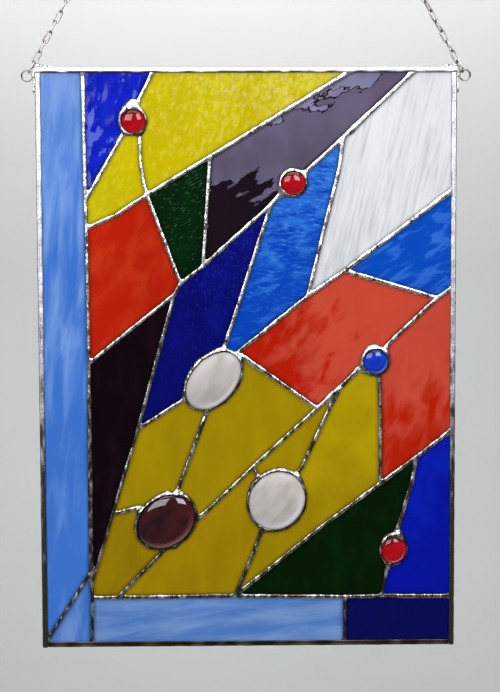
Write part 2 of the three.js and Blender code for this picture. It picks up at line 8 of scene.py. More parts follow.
import bpy
import numpy as np
from mathutils import Euler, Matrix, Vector


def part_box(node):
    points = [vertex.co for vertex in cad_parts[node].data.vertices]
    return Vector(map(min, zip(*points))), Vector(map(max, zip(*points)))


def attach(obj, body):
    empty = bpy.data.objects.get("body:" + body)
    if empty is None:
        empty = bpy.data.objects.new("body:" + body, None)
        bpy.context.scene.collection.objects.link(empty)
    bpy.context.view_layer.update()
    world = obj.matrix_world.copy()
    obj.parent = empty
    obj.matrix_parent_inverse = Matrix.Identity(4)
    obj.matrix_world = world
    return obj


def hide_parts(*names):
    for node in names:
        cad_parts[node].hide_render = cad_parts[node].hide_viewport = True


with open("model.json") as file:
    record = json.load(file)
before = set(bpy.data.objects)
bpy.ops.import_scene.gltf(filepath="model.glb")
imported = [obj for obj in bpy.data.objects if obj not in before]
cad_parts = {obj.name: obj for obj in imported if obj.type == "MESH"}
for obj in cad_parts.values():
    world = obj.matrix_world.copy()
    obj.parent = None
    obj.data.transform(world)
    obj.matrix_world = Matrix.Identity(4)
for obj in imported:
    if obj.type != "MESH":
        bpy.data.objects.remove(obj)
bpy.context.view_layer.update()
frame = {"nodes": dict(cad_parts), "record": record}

bl_info = {
    "name": "Stained glass window",
    "version": (1, 0, 0),
    "blender": (4, 5, 0),
    "location": "View3D > Sidebar > Window",
    "description": "Dresses a stained glass window in glass, solder and wire",
    "category": "Object",
}

MM = 0.001
TURN = 2 * np.pi
DEGREE = np.pi / 180

# How closely the places in one plane of the frame agree.
FLAT = 0.01 * MM

# What the frame's solids are made to: how far the glass's faces are from its middle, the space between a nugget's rim
# and the panes round it, how far a pane's cut edge is from the middle of a seam, the corner rings' radius and half
# their wire, and how far under the top their centres hang.
FACE = 1.5 * MM
RIM_SPACE = 1.2 * MM
CUT = 0.7 * MM
RING, RING_WIRE, RING_DROP = 3.6 * MM, 0.5 * MM, 5.4 * MM

# Directions on the panel, anticlockwise from the right, for painted light and shade. Light from the upper left is
# painted as a bright crescent low in a nugget, with painted shade on the solder there and at the nugget's top.
LOWER_SIDE = 305 * DEGREE
UPPER_SIDE = 100 * DEGREE


def linear(code):
    """The linear colour of an sRGB hex code: each channel c becomes ((c + 0.055) / 1.055) ** 2.4."""
    channels = np.array([(code >> shift) & 255 for shift in (16, 8, 0)]) / 255
    toe = channels / 12.92
    curve = ((channels + 0.055) / 1.055) ** 2.4
    return (*np.where(channels <= 0.04045, toe, curve).tolist(), 1.0)


# Reading the frame


def corners_of(node):
    """The corners of a node's triangles, as an array of triangles, corners, coordinates."""
    mesh = frame["nodes"][node].data
    mesh.calc_loop_triangles()
    places = np.zeros(len(mesh.vertices) * 3)
    mesh.vertices.foreach_get("co", places)
    indices = np.zeros(len(mesh.loop_triangles) * 3, int)
    mesh.loop_triangles.foreach_get("vertices", indices)
    return places.reshape(-1, 3)[indices].reshape(-1, 3, 3)


def outline_of(node):
    """The outline of a sheet's front face, as an array of stretches, ends, [x, z], with the face on their left.

    It is made of the edges of the front triangles that only one of them uses.
    """
    triangles = corners_of(node)
    front = triangles[:, :, 1].min()
    flat = triangles[np.all(np.abs(triangles[:, :, 1] - front) < FLAT, axis=1)][:, :, [0, 2]]
    edges = np.concatenate([flat[:, [k, (k + 1) % 3]] for k in range(3)])
    codes = np.round(edges / (0.001 * MM)).astype(np.int64) @ [10**7, 1]
    _, first, counts = np.unique(np.sort(codes, axis=1), axis=0, return_index=True, return_counts=True)
    return edges[first[counts == 1]]


class Nugget:
    """The rim of a nugget as an ellipse: centre, half axes, and the turn of the long one.

    The rim's corners lie at even steps round the ellipse, so their spread along an axis is half its square. The
    corners near the middle of the flat back are left out.
    """

    def __init__(self, node):
        places = corners_of(node).reshape(-1, 3)
        back = places[:, 1].max()
        rim = np.unique(np.round(places[places[:, 1] > back - FLAT][:, [0, 2]], 7), axis=0)
        middle_reach = 3 * MM
        ring = rim[np.hypot(*(rim - rim.mean(axis=0)).T) > middle_reach]
        self.node = node
        self.centre = ring.mean(axis=0)
        spread, directions = np.linalg.eigh(np.cov((ring - self.centre).T, bias=True))
        self.half = np.sqrt(2 * spread[::-1])
        self.turn = float(np.arctan2(directions[1, 1], directions[0, 1]))
        self.back = float(back)
        self.top = float(places[:, 1].min())

    def local(self, x, z):
        """Coordinates along the long and the short axis."""
        right, up = x - self.centre[0], z - self.centre[1]
        cos, sin = np.cos(self.turn), np.sin(self.turn)
        return right * cos + up * sin, up * cos - right * sin

    def past_rim(self, x, z):
        """How far a place lies outside the rim, (k - 1) / |grad k| with k = hypot(x / a, z / b)."""
        along, across = self.local(x, z)
        k = np.hypot(along / self.half[0], across / self.half[1]) + 1e-9
        slope = np.hypot(along / self.half[0] ** 2, across / self.half[1] ** 2) / k
        return (k - 1) / (slope + 1e-9)


NUGGETS = [Nugget(name) for name in sorted(frame["nodes"]) if name.startswith("nugget_")]


def drawn_in(stretches, space):
    """The outline of a pane, with its corners round a nugget brought in to a space off the nugget's rim."""
    places = stretches.reshape(-1, 2).copy()
    for nugget in NUGGETS:
        past = nugget.past_rim(*places.T)
        out = places - nugget.centre
        out /= np.linalg.norm(out, axis=1, keepdims=True)
        places -= np.where(np.abs(past - RIM_SPACE) < 1 * MM, past - space, 0)[:, None] * out
    return places.reshape(stretches.shape)


# Shapes


def waves(x, z, size, seed, stretch=1.0, lean=0.0, count=14):
    """A smooth uneven field, mostly between -1 and 1: a sum of plane waves about size long, in random directions.

    It is drawn out stretch times along a direction that leans by an angle from upright.
    """
    chance = np.random.default_rng(seed)
    along = x * np.sin(lean) + z * np.cos(lean)
    across = x * np.cos(lean) - z * np.sin(lean)
    total = np.zeros(np.shape(x))
    for _ in range(count):
        direction = chance.uniform(0, TURN)
        rate = TURN / (size * chance.uniform(0.7, 1.6))
        phase = chance.uniform(0, TURN)
        total += np.sin(rate * (across * np.cos(direction) + along / stretch * np.sin(direction)) + phase)
    return total * np.sqrt(2 / count) * 0.6


def distance_to(stretches, x, z, reach):
    """The distance from each place of a grid to the nearest stretch, up to reach. x and z are the grid's axes."""
    nearest = np.full((len(x), len(z)), reach)
    for start, end in stretches:
        low = np.minimum(start, end) - reach
        high = np.maximum(start, end) + reach
        columns = slice(*np.searchsorted(x, [low[0], high[0]]))
        rows = slice(*np.searchsorted(z, [low[1], high[1]]))
        right, up = x[columns, None] - start[0], z[None, rows] - start[1]
        run = end - start
        share = np.clip((right * run[0] + up * run[1]) / (run @ run), 0, 1)
        away = np.hypot(right - share * run[0], up - share * run[1])
        nearest[columns, rows] = np.minimum(nearest[columns, rows], away)
    return nearest


def inside_of(stretches, x, z):
    """Whether each place of a grid lies inside closed outlines.

    There a line to the right crosses the outlines an odd number of times.
    """
    inside = np.zeros((len(x), len(z)), bool)
    for start, end in stretches:
        low, high = sorted([start[1], end[1]])
        rows = slice(*np.searchsorted(z, [low, high]))
        crossing = start[0] + (z[rows] - start[1]) * (end[0] - start[0]) / ((end[1] - start[1]) or 1)
        inside[:, rows] ^= x[:, None] < crossing[None, :]
    return inside


def blurred(field, times):
    """The field after so many rounds of a 1-2-1 average in both directions."""
    for _ in range(times):
        for axis in (0, 1):
            size = field.shape[axis]
            padded = np.concatenate([field.take([0], axis), field, field.take([-1], axis)], axis)
            sides = padded.take(range(size), axis) + padded.take(range(2, size + 2), axis)
            field = 0.25 * sides + 0.5 * field
    return field


def cut_grid(x, z, field):
    """The grid squares that a field above zero touches, with the outer corners drawn in to where the field is zero.

    A corner at p with a field f < 0 moves to p - f grad f / |grad f|^2. Gives the corners [x, z], the squares, and
    the row and column of each corner.
    """
    inside = field > 0
    squares = inside[:-1, :-1] | inside[1:, :-1] | inside[:-1, 1:] | inside[1:, 1:]
    column, row = np.nonzero(squares)
    number = np.arange(field.size).reshape(field.shape)
    faces = np.stack([number[column, row], number[column + 1, row],
                      number[column + 1, row + 1], number[column, row + 1]], axis=1)
    used, faces = np.unique(faces, return_inverse=True)
    slope_x, slope_z = np.gradient(field, x, z)
    i, j = np.divmod(used, len(z))
    steepness = slope_x[i, j] ** 2 + slope_z[i, j] ** 2 + 1e-6
    step = np.where(field[i, j] < 0, -field[i, j], 0) / steepness
    pitch = x[1] - x[0]
    move = np.stack([step * slope_x[i, j], step * slope_z[i, j]], axis=1)
    move = np.clip(move, -0.95 * pitch, 0.95 * pitch)
    return np.stack([x[i], z[j]], axis=1) + move, faces.reshape(-1, 4), i, j


def rim_edges(faces):
    """The edges that only one face uses, in the direction of that face."""
    edges = np.concatenate([faces[:, [k, (k + 1) % 4]] for k in range(4)])
    _, first, counts = np.unique(np.sort(edges, axis=1), axis=0, return_index=True, return_counts=True)
    return edges[first[counts == 1]]


def sweep(path, radius, sides=10, closed=False):
    """A round wire along a path: path + r (n cos a + b sin a), with n square to the path.

    n starts square to the path's first step, and each later one is the last n with its part along the path taken out.
    """
    following = np.roll(path, -1, axis=0)
    before = np.roll(path, 1, axis=0)
    if not closed:
        following[-1], before[0] = path[-1], path[0]
    ahead = following - before
    ahead /= np.linalg.norm(ahead, axis=1)[:, None]
    askew = [0.31, 0.87, 0.38]
    normal = np.cross(ahead[0], askew)
    normals = []
    for direction in ahead:
        normal = normal - (normal @ direction) * direction
        normal = normal / np.linalg.norm(normal)
        normals.append(normal)
    normals = np.array(normals)
    second = np.cross(ahead, normals)
    angle = np.arange(sides) * TURN / sides
    radius = np.broadcast_to(radius, len(path))[:, None, None]
    ring = normals[:, None] * np.cos(angle)[None, :, None] + second[:, None] * np.sin(angle)[None, :, None]
    places = (path[:, None] + radius * ring).reshape(-1, 3)
    return places, tube_faces(len(path), sides, closed)


def tube_faces(steps, sides, closed):
    """The four-sided faces between rings of corners, numbered ring after ring."""
    here = np.arange(steps if closed else steps - 1)[:, None]
    side = np.arange(sides)[None, :]
    ahead = (here + 1) % steps
    after = (side + 1) % sides
    faces = [here * sides + side, here * sides + after, ahead * sides + after, ahead * sides + side]
    return np.stack(np.broadcast_arrays(*faces), axis=-1).reshape(-1, 4)


def gathered(parts):
    """One mesh of several: the places one after the other, and the faces renumbered to match."""
    starts = np.cumsum([0] + [len(places) for places, _ in parts[:-1]])
    faces = np.concatenate([numbers + start for (_, numbers), start in zip(parts, starts)])
    return np.concatenate([places for places, _ in parts]), faces


def make_object(name, places, faces, material, marks=None):
    """An object of these places and faces that wears a material.

    marks are named values for each place, which the material can read as an attribute.
    """
    mesh = bpy.data.meshes.new(name)
    mesh.from_pydata(places.tolist(), [], faces.tolist())
    mesh.polygons.foreach_set("use_smooth", np.ones(len(mesh.polygons), bool))
    for mark, values in (marks or {}).items():
        mesh.attributes.new(mark, "FLOAT", "POINT").data.foreach_set("value", values.astype(np.float32))
    mesh.materials.append(material)
    thing = bpy.data.objects.new(name, mesh)
    bpy.context.scene.collection.objects.link(thing)
    return thing


def make_piece(name, places, faces, node, material, marks=None):
    """A piece of the window, which stands for a node of the frame."""
    piece = make_object(name, places, faces, material, marks)
    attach(piece, "root")
    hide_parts(node)


SLOT_OF = {part["node"]: part["material_slot"] for part in frame["record"]["subparts"]}


# Materials

# The settings of a map range that eases in and out.
EASED = {"interpolation_type": "SMOOTHSTEP"}


def add(tree, kind, inputs=(), out=0, **settings):
    """Adds a node with its settings, and gives its output of this name or number, if it has one.

    Its inputs, by name, by number or in their own order, are set to values or linked to other nodes' outputs.
    """
    node = tree.nodes.new(kind)
    for name, value in settings.items():
        setattr(node, name, value)
    for name, value in inputs.items() if isinstance(inputs, dict) else enumerate(inputs):
        if isinstance(value, bpy.types.NodeSocket):
            tree.links.new(value, node.inputs[name])
        else:
            node.inputs[name].default_value = value
    return node.outputs[out] if len(node.outputs) else None


def finish(name, surface, *values, **more):
    """The material of this name, made once. surface gives the inputs of its shader."""
    material = bpy.data.materials.get(name)
    if material is None:
        material = bpy.data.materials.new(name)
        material.use_nodes = True
        tree = material.node_tree
        tree.nodes.clear()
        shader = add(tree, "ShaderNodeBsdfPrincipled", surface(tree, *values, **more))
        add(tree, "ShaderNodeOutputMaterial", {"Surface": shader})
    return material


def grain(tree, size, lean=0.0, detail=3.0, distortion=0.0, shift=0.0):
    """A noise with features of a real size, (across, along) in metres, drawn out along a lean from upright."""
    place = add(tree, "ShaderNodeMapping", {
        "Vector": add(tree, "ShaderNodeTexCoord", out="Object"),
        "Location": (shift, 0, shift),
        "Rotation": (0, lean, 0),
        "Scale": (size[0], size[0], size[1]),
    }, vector_type="TEXTURE")
    inputs = {"Vector": place, "Scale": 1.0, "Detail": detail, "Distortion": distortion}
    return add(tree, "ShaderNodeTexNoise", inputs, "Fac")


def ramp(tree, node, lean, amount):
    """A number that rises across a node's box, from -amount / 2 to amount / 2, along a lean from upright."""
    low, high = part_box(node)
    half = (high - low) / 2
    direction = Vector((np.sin(lean), 0, np.cos(lean)))
    centre = ((low + high) / 2).dot(direction)
    reach = half.x * abs(direction.x) + half.z * abs(direction.z)
    place = add(tree, "ShaderNodeTexCoord", out="Object")
    along = add(tree, "ShaderNodeVectorMath", (place, direction), "Value", operation="DOT_PRODUCT")
    return add(tree, "ShaderNodeMapRange", (along, centre - reach, centre + reach, -0.5 * amount, 0.5 * amount))


def layered(tree, colour, *layers):
    """A colour under layers of others. Each layer is the share of it that shows, from 0 to 1, and its colour."""
    for share, over in layers:
        colour = add(tree, "ShaderNodeMix", {0: share, 6: colour, 7: over}, 2, data_type="RGBA")
    return colour


def darkened(colour, share):
    """A colour with only a share of its light."""
    return (*(share * value for value in colour[:3]), 1.0)


# The sheet glasses, by the record's slots. deep and pale are the two colours that run into each other, streak is the
# size of the pale runs (across and along, mm), lean their angle from upright, and turn where the noise goes from deep
# to pale. drift is the direction in which the glass gets paler, and by how much. fleck is a third colour in sharper
# marks, and its rim the colour just outside them. clear is how much light goes straight through, gloss the strength
# of the reflections, and mottle how dark the clouds in the glass are. wave is the size and the height of the face's
# waves (mm), and drawn how drawn out they are.
USUAL_SHEET = dict(drift=None, gloss=0.16, mottle=0.12)
SHEETS = {
    "glass_sky": dict(label="Wispy light blue glass", deep=0x4076CC, pale=0x84A9E4, streak=(8, 50), lean=5,
                      turn=(0.36, 0.86), clear=0.1, wave=(16, 0.07), drawn=3),
    "glass_cobalt": dict(label="Cobalt blue glass", deep=0x021292, pale=0x0620A8, streak=(14, 40), lean=0,
                         turn=(0.4, 0.7), clear=0.25, wave=(16, 0.04), drawn=2),
    "glass_yellow": dict(label="Mottled yellow glass", deep=0xD0BC00, pale=0xE2D434, streak=(3, 5), lean=25,
                         turn=(0.4, 0.72), clear=0.15, wave=(5, 0.07), drawn=1.5),
    "glass_green": dict(label="Dark green glass", deep=0x001A00, pale=0x022402, streak=(16, 30), lean=0, gloss=0.08,
                        turn=(0.4, 0.7), clear=0.25, wave=(16, 0.03), drawn=2),
    # The purple's pale runs are a painted reflection of the bright room.
    "glass_purple": dict(label="Veined purple glass", deep=0x1A0A18, pale=0x6E647C, streak=(9, 22), lean=58,
                         turn=(0.27, 0.31), clear=0.1, gloss=0.3, mottle=0.4, wave=(14, 0.05), drawn=2),
    "glass_white": dict(label="Ribbed white glass", deep=0xC8C9CA, pale=0xECECEA, streak=(2.1, 36), lean=13,
                        turn=(0.2, 0.64), clear=0.1, wave=(5, 0.1), drawn=9),
    "glass_blue": dict(label="Rippled blue glass", deep=0x024AC0, pale=0x2C78DE, streak=(6, 16), lean=78,
                       turn=(0.42, 0.7), clear=0.25, wave=(5, 0.07), drawn=3),
    "glass_navy": dict(label="Navy blue glass", deep=0x02066C, pale=0x040A7A, streak=(10, 20), lean=10, gloss=0.1,
                       turn=(0.4, 0.75), clear=0.25, wave=(12, 0.04), drawn=1.5),
    "glass_red": dict(label="Orange red glass", deep=0xBA1E04, pale=0xC63412, streak=(14, 26), lean=20,
                      turn=(0.42, 0.7), clear=0.1, wave=(22, 0.04), drawn=1.5),
    "glass_maroon": dict(label="Maroon glass", deep=0x10030A, pale=0x1E0A12, streak=(14, 30), lean=0, gloss=0.12,
                         turn=(0.45, 0.8), clear=0.15, wave=(16, 0.03), drawn=2),
    "glass_gold": dict(label="Mustard gold glass", deep=0xA08600, pale=0xA88D02, streak=(12, 40), lean=4,
                       turn=(0.3, 0.75), clear=0.1, wave=(14, 0.04), drawn=4),
}

# What a pane has in its own way. Its drifts are painted reflections of the bright room above, most of them towards
# the top.
PANES = {
    "pane_strip_left": dict(drift=(0, 0.35)),
    "pane_strip_bottom": dict(deep=0x507CBE, pale=0x7EA0D0, lean=84, turn=(0.3, 0.8)),
    "pane_wedge_corner": dict(deep=0x4276C6, pale=0x82A6DA),
    # The pale flecks on the hammered glass are painted reflections, more of them towards the left.
    "pane_cobalt_top": dict(label="Hammered cobalt glass", deep=0x0A20BC, pale=0x1228D2, streak=(8, 14), lean=10,
                            gloss=0.1, wave=(8, 0.1), drawn=1.5,
                            fleck=dict(colour=0x5E6EE2, size=(6, 11), lean=12, turn=(0.57, 0.6), drift=(250, 0.24))),
    # The pale flecks and the paler upper right are painted reflections.
    "pane_yellow_large": dict(drift=(40, 0.25),
                              fleck=dict(colour=0xE6D884, size=(2.2, 3.4), lean=10, turn=(0.54, 0.86),
                                         drift=(30, 0.3))),
    "pane_yellow_small": dict(label="Smooth yellow glass", deep=0xD0BE00, pale=0xDECC18, wave=(16, 0.04)),
    "pane_green_upper": dict(label="Brushed green glass", deep=0x012006, pale=0x032C0A, wave=(7, 0.05),
                             fleck=dict(colour=0x44744C, size=(0.7, 5), lean=58, turn=(0.6, 0.68), drift=(0, 0.06))),
    # The lilac marks with their dark rims, and the paler top, are a painted reflection of the bright room.
    "pane_purple": dict(drift=(10, 1.6),
                        fleck=dict(colour=0x908AAA, rim=0x24121E, size=(9, 20), lean=60, turn=(1.2, 1.21),
                                   drift=(-20, 3.0))),
    "pane_white": dict(drift=(10, 0.28)),
    "pane_blue_slope": dict(drift=(0, 0.3),
                            fleck=dict(colour=0x4C92EC, size=(1.5, 6), lean=98, turn=(0.5, 0.74), drift=(0, 0.2))),
    "pane_blue_kite": dict(label="Soft blue glass", deep=0x0450C4, pale=0x3072DC, streak=(6, 20), lean=62,
                           turn=(0.48, 0.62), wave=(13, 0.06)),
    "pane_navy_middle": dict(drift=(0, 0.3), deep=0x04086C, pale=0x0A1084,
                             fleck=dict(colour=0x2C38B0, size=(0.8, 3), lean=-20, turn=(0.58, 0.8), drift=(0, 0.16))),
    "pane_navy_bottom": dict(deep=0x040858, pale=0x050A60),
    # The haze of the red panes, paler towards the top and the right, is a painted reflection.
    "pane_red_middle": dict(label="Hazy red glass", deep=0xBA1C02, pale=0xCC4A34, streak=(9, 18), lean=40,
                            turn=(0.2, 0.52), drift=(75, 0.9)),
    "pane_red_right": dict(label="Hazy red glass", deep=0xB81E02, pale=0xCA4A36, streak=(9, 20), turn=(0.2, 0.6),
                           drift=(-8, 0.7)),
    "pane_cobalt_right": dict(deep=0x0010A4, pale=0x0420B6, streak=(20, 30), drift=(0, 0.3)),
    "pane_gold_right": dict(label="Bright gold glass", deep=0x9E8400, pale=0xB69C02, streak=(26, 30), drift=(0, 0.6)),
    "pane_gold_bottom": dict(label="Brown gold glass", deep=0x9C7E00, pale=0xA68802),
    "pane_gold_corner": dict(label="Brown gold glass", deep=0x8E7400, pale=0x9C8002),
}

# The nuggets' glasses: deep and pale are the colours of the body and its swirls, turn where the noise goes from one to
# the other, and heart how much deeper the middle is. The lower rim gets painted light of a colour of its own, and the
# top painted shade of a given strength. clear is how much light goes straight through, gloss and rough are the skin's
# reflections and roughness, and coat is the polish over it.
USUAL_GEM = dict(turn=(0.3, 0.75), heart=0.0, painted_shadow=0.0, gloss=0.5, rough=0.02, coat=0.25)
GEMS = {
    "nugget_ruby": dict(label="Ruby glass", deep=0xAE000C, pale=0xCC0620, glow=0xF02838, clear=0.25,
                        gloss=0.35, coat=0.1, painted_shadow=0.85),
    "nugget_sapphire": dict(label="Sapphire glass", deep=0x0E30B8, pale=0x1A50DA, glow=0x58A0F8, clear=0.25,
                            gloss=0.4, coat=0.15, painted_shadow=0.7),
    "nugget_pearl": dict(label="Pearl glass", deep=0xA8A49A, pale=0xC2B8B2, glow=0xFAF2F4, clear=0.03,
                         gloss=0.2, rough=0.22, coat=0.0, heart=0.3, turn=(0.02, 0.6)),
    "nugget_amethyst": dict(label="Amethyst glass", deep=0x1E0304, pale=0x401012, glow=0x8C4444, clear=0.1),
}


def sheet_glass(tree, look, node, seed):
    """Art glass, streaked in the melt and rolled into a sheet.

    The eye gets paler runs in a deep ground, marks of a third colour, reflections broken up by low waves, and glass
    that is darker in clouds and in painted shade along its edges. Where the runs or marks drift paler, that is a
    painted reflection of the bright room.
    """
    shift = 0.37 * seed

    def runs(streak, lean, turn, drift, **more):
        """A grain that rises along the drift, and how far it is through the turn."""
        field = grain(tree, tuple(value * MM for value in streak), lean * DEGREE, shift=shift, **more)
        # The drift is a painted reflection: it makes the glass, or its marks, paler towards the bright room that it
        # mirrors.
        if drift:
            rise = ramp(tree, node, drift[0] * DEGREE, drift[1])
            field = add(tree, "ShaderNodeMath", (field, rise), operation="ADD")
        return field, add(tree, "ShaderNodeMapRange", (field, *turn), **EASED)

    ground = [look[value] for value in ("streak", "lean", "turn", "drift")]
    relief, share = runs(*ground, detail=4.0, distortion=0.5)
    layers = [(share, look["pale"])]
    if "fleck" in look:
        fleck = look["fleck"]
        relief, mark = runs(fleck["size"], fleck["lean"], fleck["turn"], fleck.get("drift"), detail=5.0)
        if "rim" in fleck:
            start = fleck["turn"][0]
            outside = add(tree, "ShaderNodeMapRange", (relief, start - 0.035, start - 0.02), **EASED)
            layers.append((outside, linear(fleck["rim"])))
        layers.append((mark, linear(fleck["colour"])))
    cloud = grain(tree, (40 * MM, 60 * MM), shift=shift + 0.2)
    shade = add(tree, "ShaderNodeMapRange", (cloud, 0.3, 0.7, 0.0, look["mottle"]), **EASED)
    # Painted shade along the pane's edges, read from the edge mark, on top of the darker clouds in the glass.
    edge = add(tree, "ShaderNodeAttribute", out="Fac", attribute_name="edge")
    shade = add(tree, "ShaderNodeMath", (edge, 0.7, shade), operation="MULTIPLY_ADD")
    layers.append((shade, darkened(look["deep"], 0.25)))
    return {
        "Base Color": layered(tree, look["deep"], *layers),
        "Roughness": add(tree, "ShaderNodeMapRange", (cloud, 0.3, 0.7, 0.06, 0.12), **EASED),
        "IOR": 1.5,
        "Specular IOR Level": look["gloss"],
        "Transmission Weight": look["clear"],
        "Normal": add(tree, "ShaderNodeBump", {"Height": relief, "Strength": 0.2, "Distance": 0.1 * MM}),
    }


def gem_glass(tree, look):
    """Glass dropped in a mould and polished by fire.

    The eye gets a smooth bright skin over soft swirls, painted light along the lower rim and painted shade at the top,
    and in a pearly glass a deeper heart.
    """
    # Marks of the mesh: the deeper heart, painted light along the lower rim and painted shade at the top.
    heart, glow, painted_shadow = (
        add(tree, "ShaderNodeAttribute", out="Fac", attribute_name=mark) for mark in ("heart", "glow", "painted_shadow")
    )
    swirl = grain(tree, (9 * MM, 20 * MM), 0.7, detail=1.0, distortion=0.8)
    swirl = add(tree, "ShaderNodeMath", (heart, -look["heart"], swirl), operation="MULTIPLY_ADD")
    painted_shadow = add(tree, "ShaderNodeMath", (painted_shadow, look["painted_shadow"]), operation="MULTIPLY")
    share = add(tree, "ShaderNodeMapRange", (swirl, *look["turn"]), **EASED)
    # The colour of the painted shade at a nugget's top.
    dark = darkened(look["deep"], 0.12)
    smear = grain(tree, (7 * MM, 9 * MM), detail=1.0)
    rough = look["rough"]
    return {
        "Base Color": layered(tree, look["deep"], (share, look["pale"]), (glow, look["glow"]), (painted_shadow, dark)),
        "Roughness": add(tree, "ShaderNodeMapRange", (smear, 0.3, 0.8, rough, rough + 0.04), **EASED),
        "IOR": 1.5,
        "Specular IOR Level": look["gloss"],
        "Transmission Weight": look["clear"],
        "Coat Weight": look["coat"],
        "Coat Roughness": 0.02,
    }


def tinned(tree, bright, dull, size, rough, fall, start):
    """Tin, run on with an iron and left to air.

    The eye gets a bright wrinkled skin, dulled in patches of a size, with dark flecks of flux and, as marked on the
    mesh, painted shade and dark veins. It gets duller by fall from the top to the bottom as painted shade, and the
    dullness begins where the patches pass start.
    """
    patches = grain(tree, size, detail=4.0, distortion=0.4)
    # Random dulling, with painted shade that grows towards the bottom.
    tarnish_and_shade = add(tree, "ShaderNodeMath", (patches, ramp(tree, "solder", 0.0, -fall)), operation="ADD")
    dullness = add(tree, "ShaderNodeMapRange", (tarnish_and_shade, start, start + 0.26), **EASED)
    flux = grain(tree, (0.9 * MM, 1.4 * MM), detail=2.0, shift=0.1)
    flecks = add(tree, "ShaderNodeMapRange", (flux, 0.62, 0.66, 0.0, 0.9), **EASED)
    # The mesh's mark: painted shade, and dark veins on the corner solder.
    grime = add(tree, "ShaderNodeAttribute", out="Fac", attribute_name="grime")
    dark = add(tree, "ShaderNodeMath", (flecks, grime), operation="MAXIMUM")
    wrinkles = grain(tree, (1.5 * MM, 2.3 * MM), distortion=0.6)
    return {
        "Base Color": layered(tree, bright, (dullness, dull), (dark, linear(0x2A2218))),
        "Metallic": 1.0,
        "Roughness": add(tree, "ShaderNodeMapRange", (tarnish_and_shade, 0.3, 0.7, rough + 0.14, rough), **EASED),
        "Normal": add(tree, "ShaderNodeBump", {"Height": wrinkles, "Strength": 0.85, "Distance": 0.3 * MM}),
    }


def plated(tree, bright, dull):
    """Steel wire with a pale plating.

    The eye gets fine lines from the drawing of the wire, grey patches where it has been handled, and painted shade.
    """
    patches = grain(tree, (4 * MM, 6 * MM))
    patchy = add(tree, "ShaderNodeMapRange", (patches, 0.4, 0.7), **EASED)
    # The mesh's mark: painted shade where links touch.
    grime = add(tree, "ShaderNodeAttribute", out="Fac", attribute_name="grime")
    drawn = grain(tree, (0.3 * MM, 2 * MM), detail=2.0)
    return {
        "Base Color": layered(tree, bright, (patchy, dull), (grime, linear(0x14110E))),
        "Metallic": 1.0,
        "Roughness": add(tree, "ShaderNodeMapRange", (patches, 0.3, 0.8, 0.26, 0.42), **EASED),
        "Normal": add(tree, "ShaderNodeBump", {"Height": drawn, "Strength": 0.15, "Distance": 0.05 * MM}),
    }


# The metals: how each is made, its bright and its dull colour and what else its making takes.
METALS = {
    # fall is painted shade that dulls the tin towards the bottom.
    "solder": dict(label="Tin solder", make=tinned, bright=0xF8F6F2, dull=0x6A624E,
                   more=dict(size=(3 * MM, 7 * MM), rough=0.16, fall=0.26, start=0.4)),
    "channel": dict(label="Tinned border channel", make=tinned, bright=0xF6F2F6, dull=0x6E6856,
                    more=dict(size=(3 * MM, 14 * MM), rough=0.3, fall=1.0, start=0.5)),
    "ring": dict(label="Plated ring wire", make=plated, bright=0xB4ACA4, dull=0x3C342C, more={}),
    "chain": dict(label="Plated chain wire", make=plated, bright=0xE8DEDA, dull=0xB0A49E, more={}),
}


def matt_paper(tree, pale):
    """Matt backdrop paper: the eye gets an even, pale ground with the faintest clouds."""
    clouds = grain(tree, (0.4, 0.4), detail=2.0)
    return {"Base Color": layered(tree, linear(0xC0C0BE), (clouds, pale)), "Roughness": 0.9}


# Settings


def length_setting(name, description, millimetres, **limits):
    """A setting that is a length."""
    return bpy.props.FloatProperty(
        name=name, description=description, default=millimetres * MM, unit="LENGTH", **limits)


def angle_setting(name, description, degrees):
    """A setting that is an angle."""
    return bpy.props.FloatProperty(name=name, description=description, default=degrees * DEGREE, subtype="ANGLE")


def colour_setting(name, description, colour):
    """A setting that is a colour."""
    return bpy.props.FloatVectorProperty(
        name=name, description=description, default=colour, size=4, min=0.0, max=1.0, subtype="COLOR")


TONES = {
    "deep": "The ground of the glass",
    "pale": "The paler runs in the glass",
    # A nugget's painted light along its lower rim.
    "glow": "The light along its lower rim",
    "bright": "The metal where it is clean",
    "dull": "The metal where it is dull",
}


class ColourSettings(bpy.types.PropertyGroup):
    """The colours of the glasses, by slot and tone, and of the metals. A pane with colours of its own keeps them."""

    __annotations__ = {
        f"{slot}_{tone}": colour_setting(f"{look['label']}, {tone}", TONES[tone], linear(look[tone]))
        for slot, look in {**SHEETS, **GEMS, **METALS}.items() for tone in TONES if tone in look
    }


class GlassSettings(bpy.types.PropertyGroup):
    """The detail and the forms of the panes and nuggets."""

    pitch: length_setting("Glass detail", "Spacing of the corners across a pane's faces", 1.6, min=0.5 * MM)
    waviness: bpy.props.FloatProperty(
        name="Waviness", description="How high the waves of the rolled glass are, to their usual height",
        default=1.0, min=0.0)
    dome: bpy.props.FloatProperty(
        name="Dome fullness", description="Power of the nuggets' curve: 2 is an ellipse, more is fuller",
        default=2.3, min=1.5)


class SolderSettings(bpy.types.PropertyGroup):
    """The detail and the sizes of the seams and the bezels."""

    pitch: length_setting("Solder detail", "Spacing of the corners across the solder in front", 0.5, min=0.2 * MM)
    crest: length_setting("Bead height", "Height of a seam's bead over the glass", 0.85)
    foil: length_setting("Foil inset", "From the middle of a seam to the cut edge of the glass", 0.7)
    bezel: length_setting("Bezel height", "Height of the solder round a nugget over the glass", 2.1)
    bezel_reach: length_setting("Bezel reach", "How far the solder round a nugget spreads over the glass", 1.35)
    bezel_lap: length_setting("Bezel lap", "How far the solder covers a nugget's rim", 0.6)


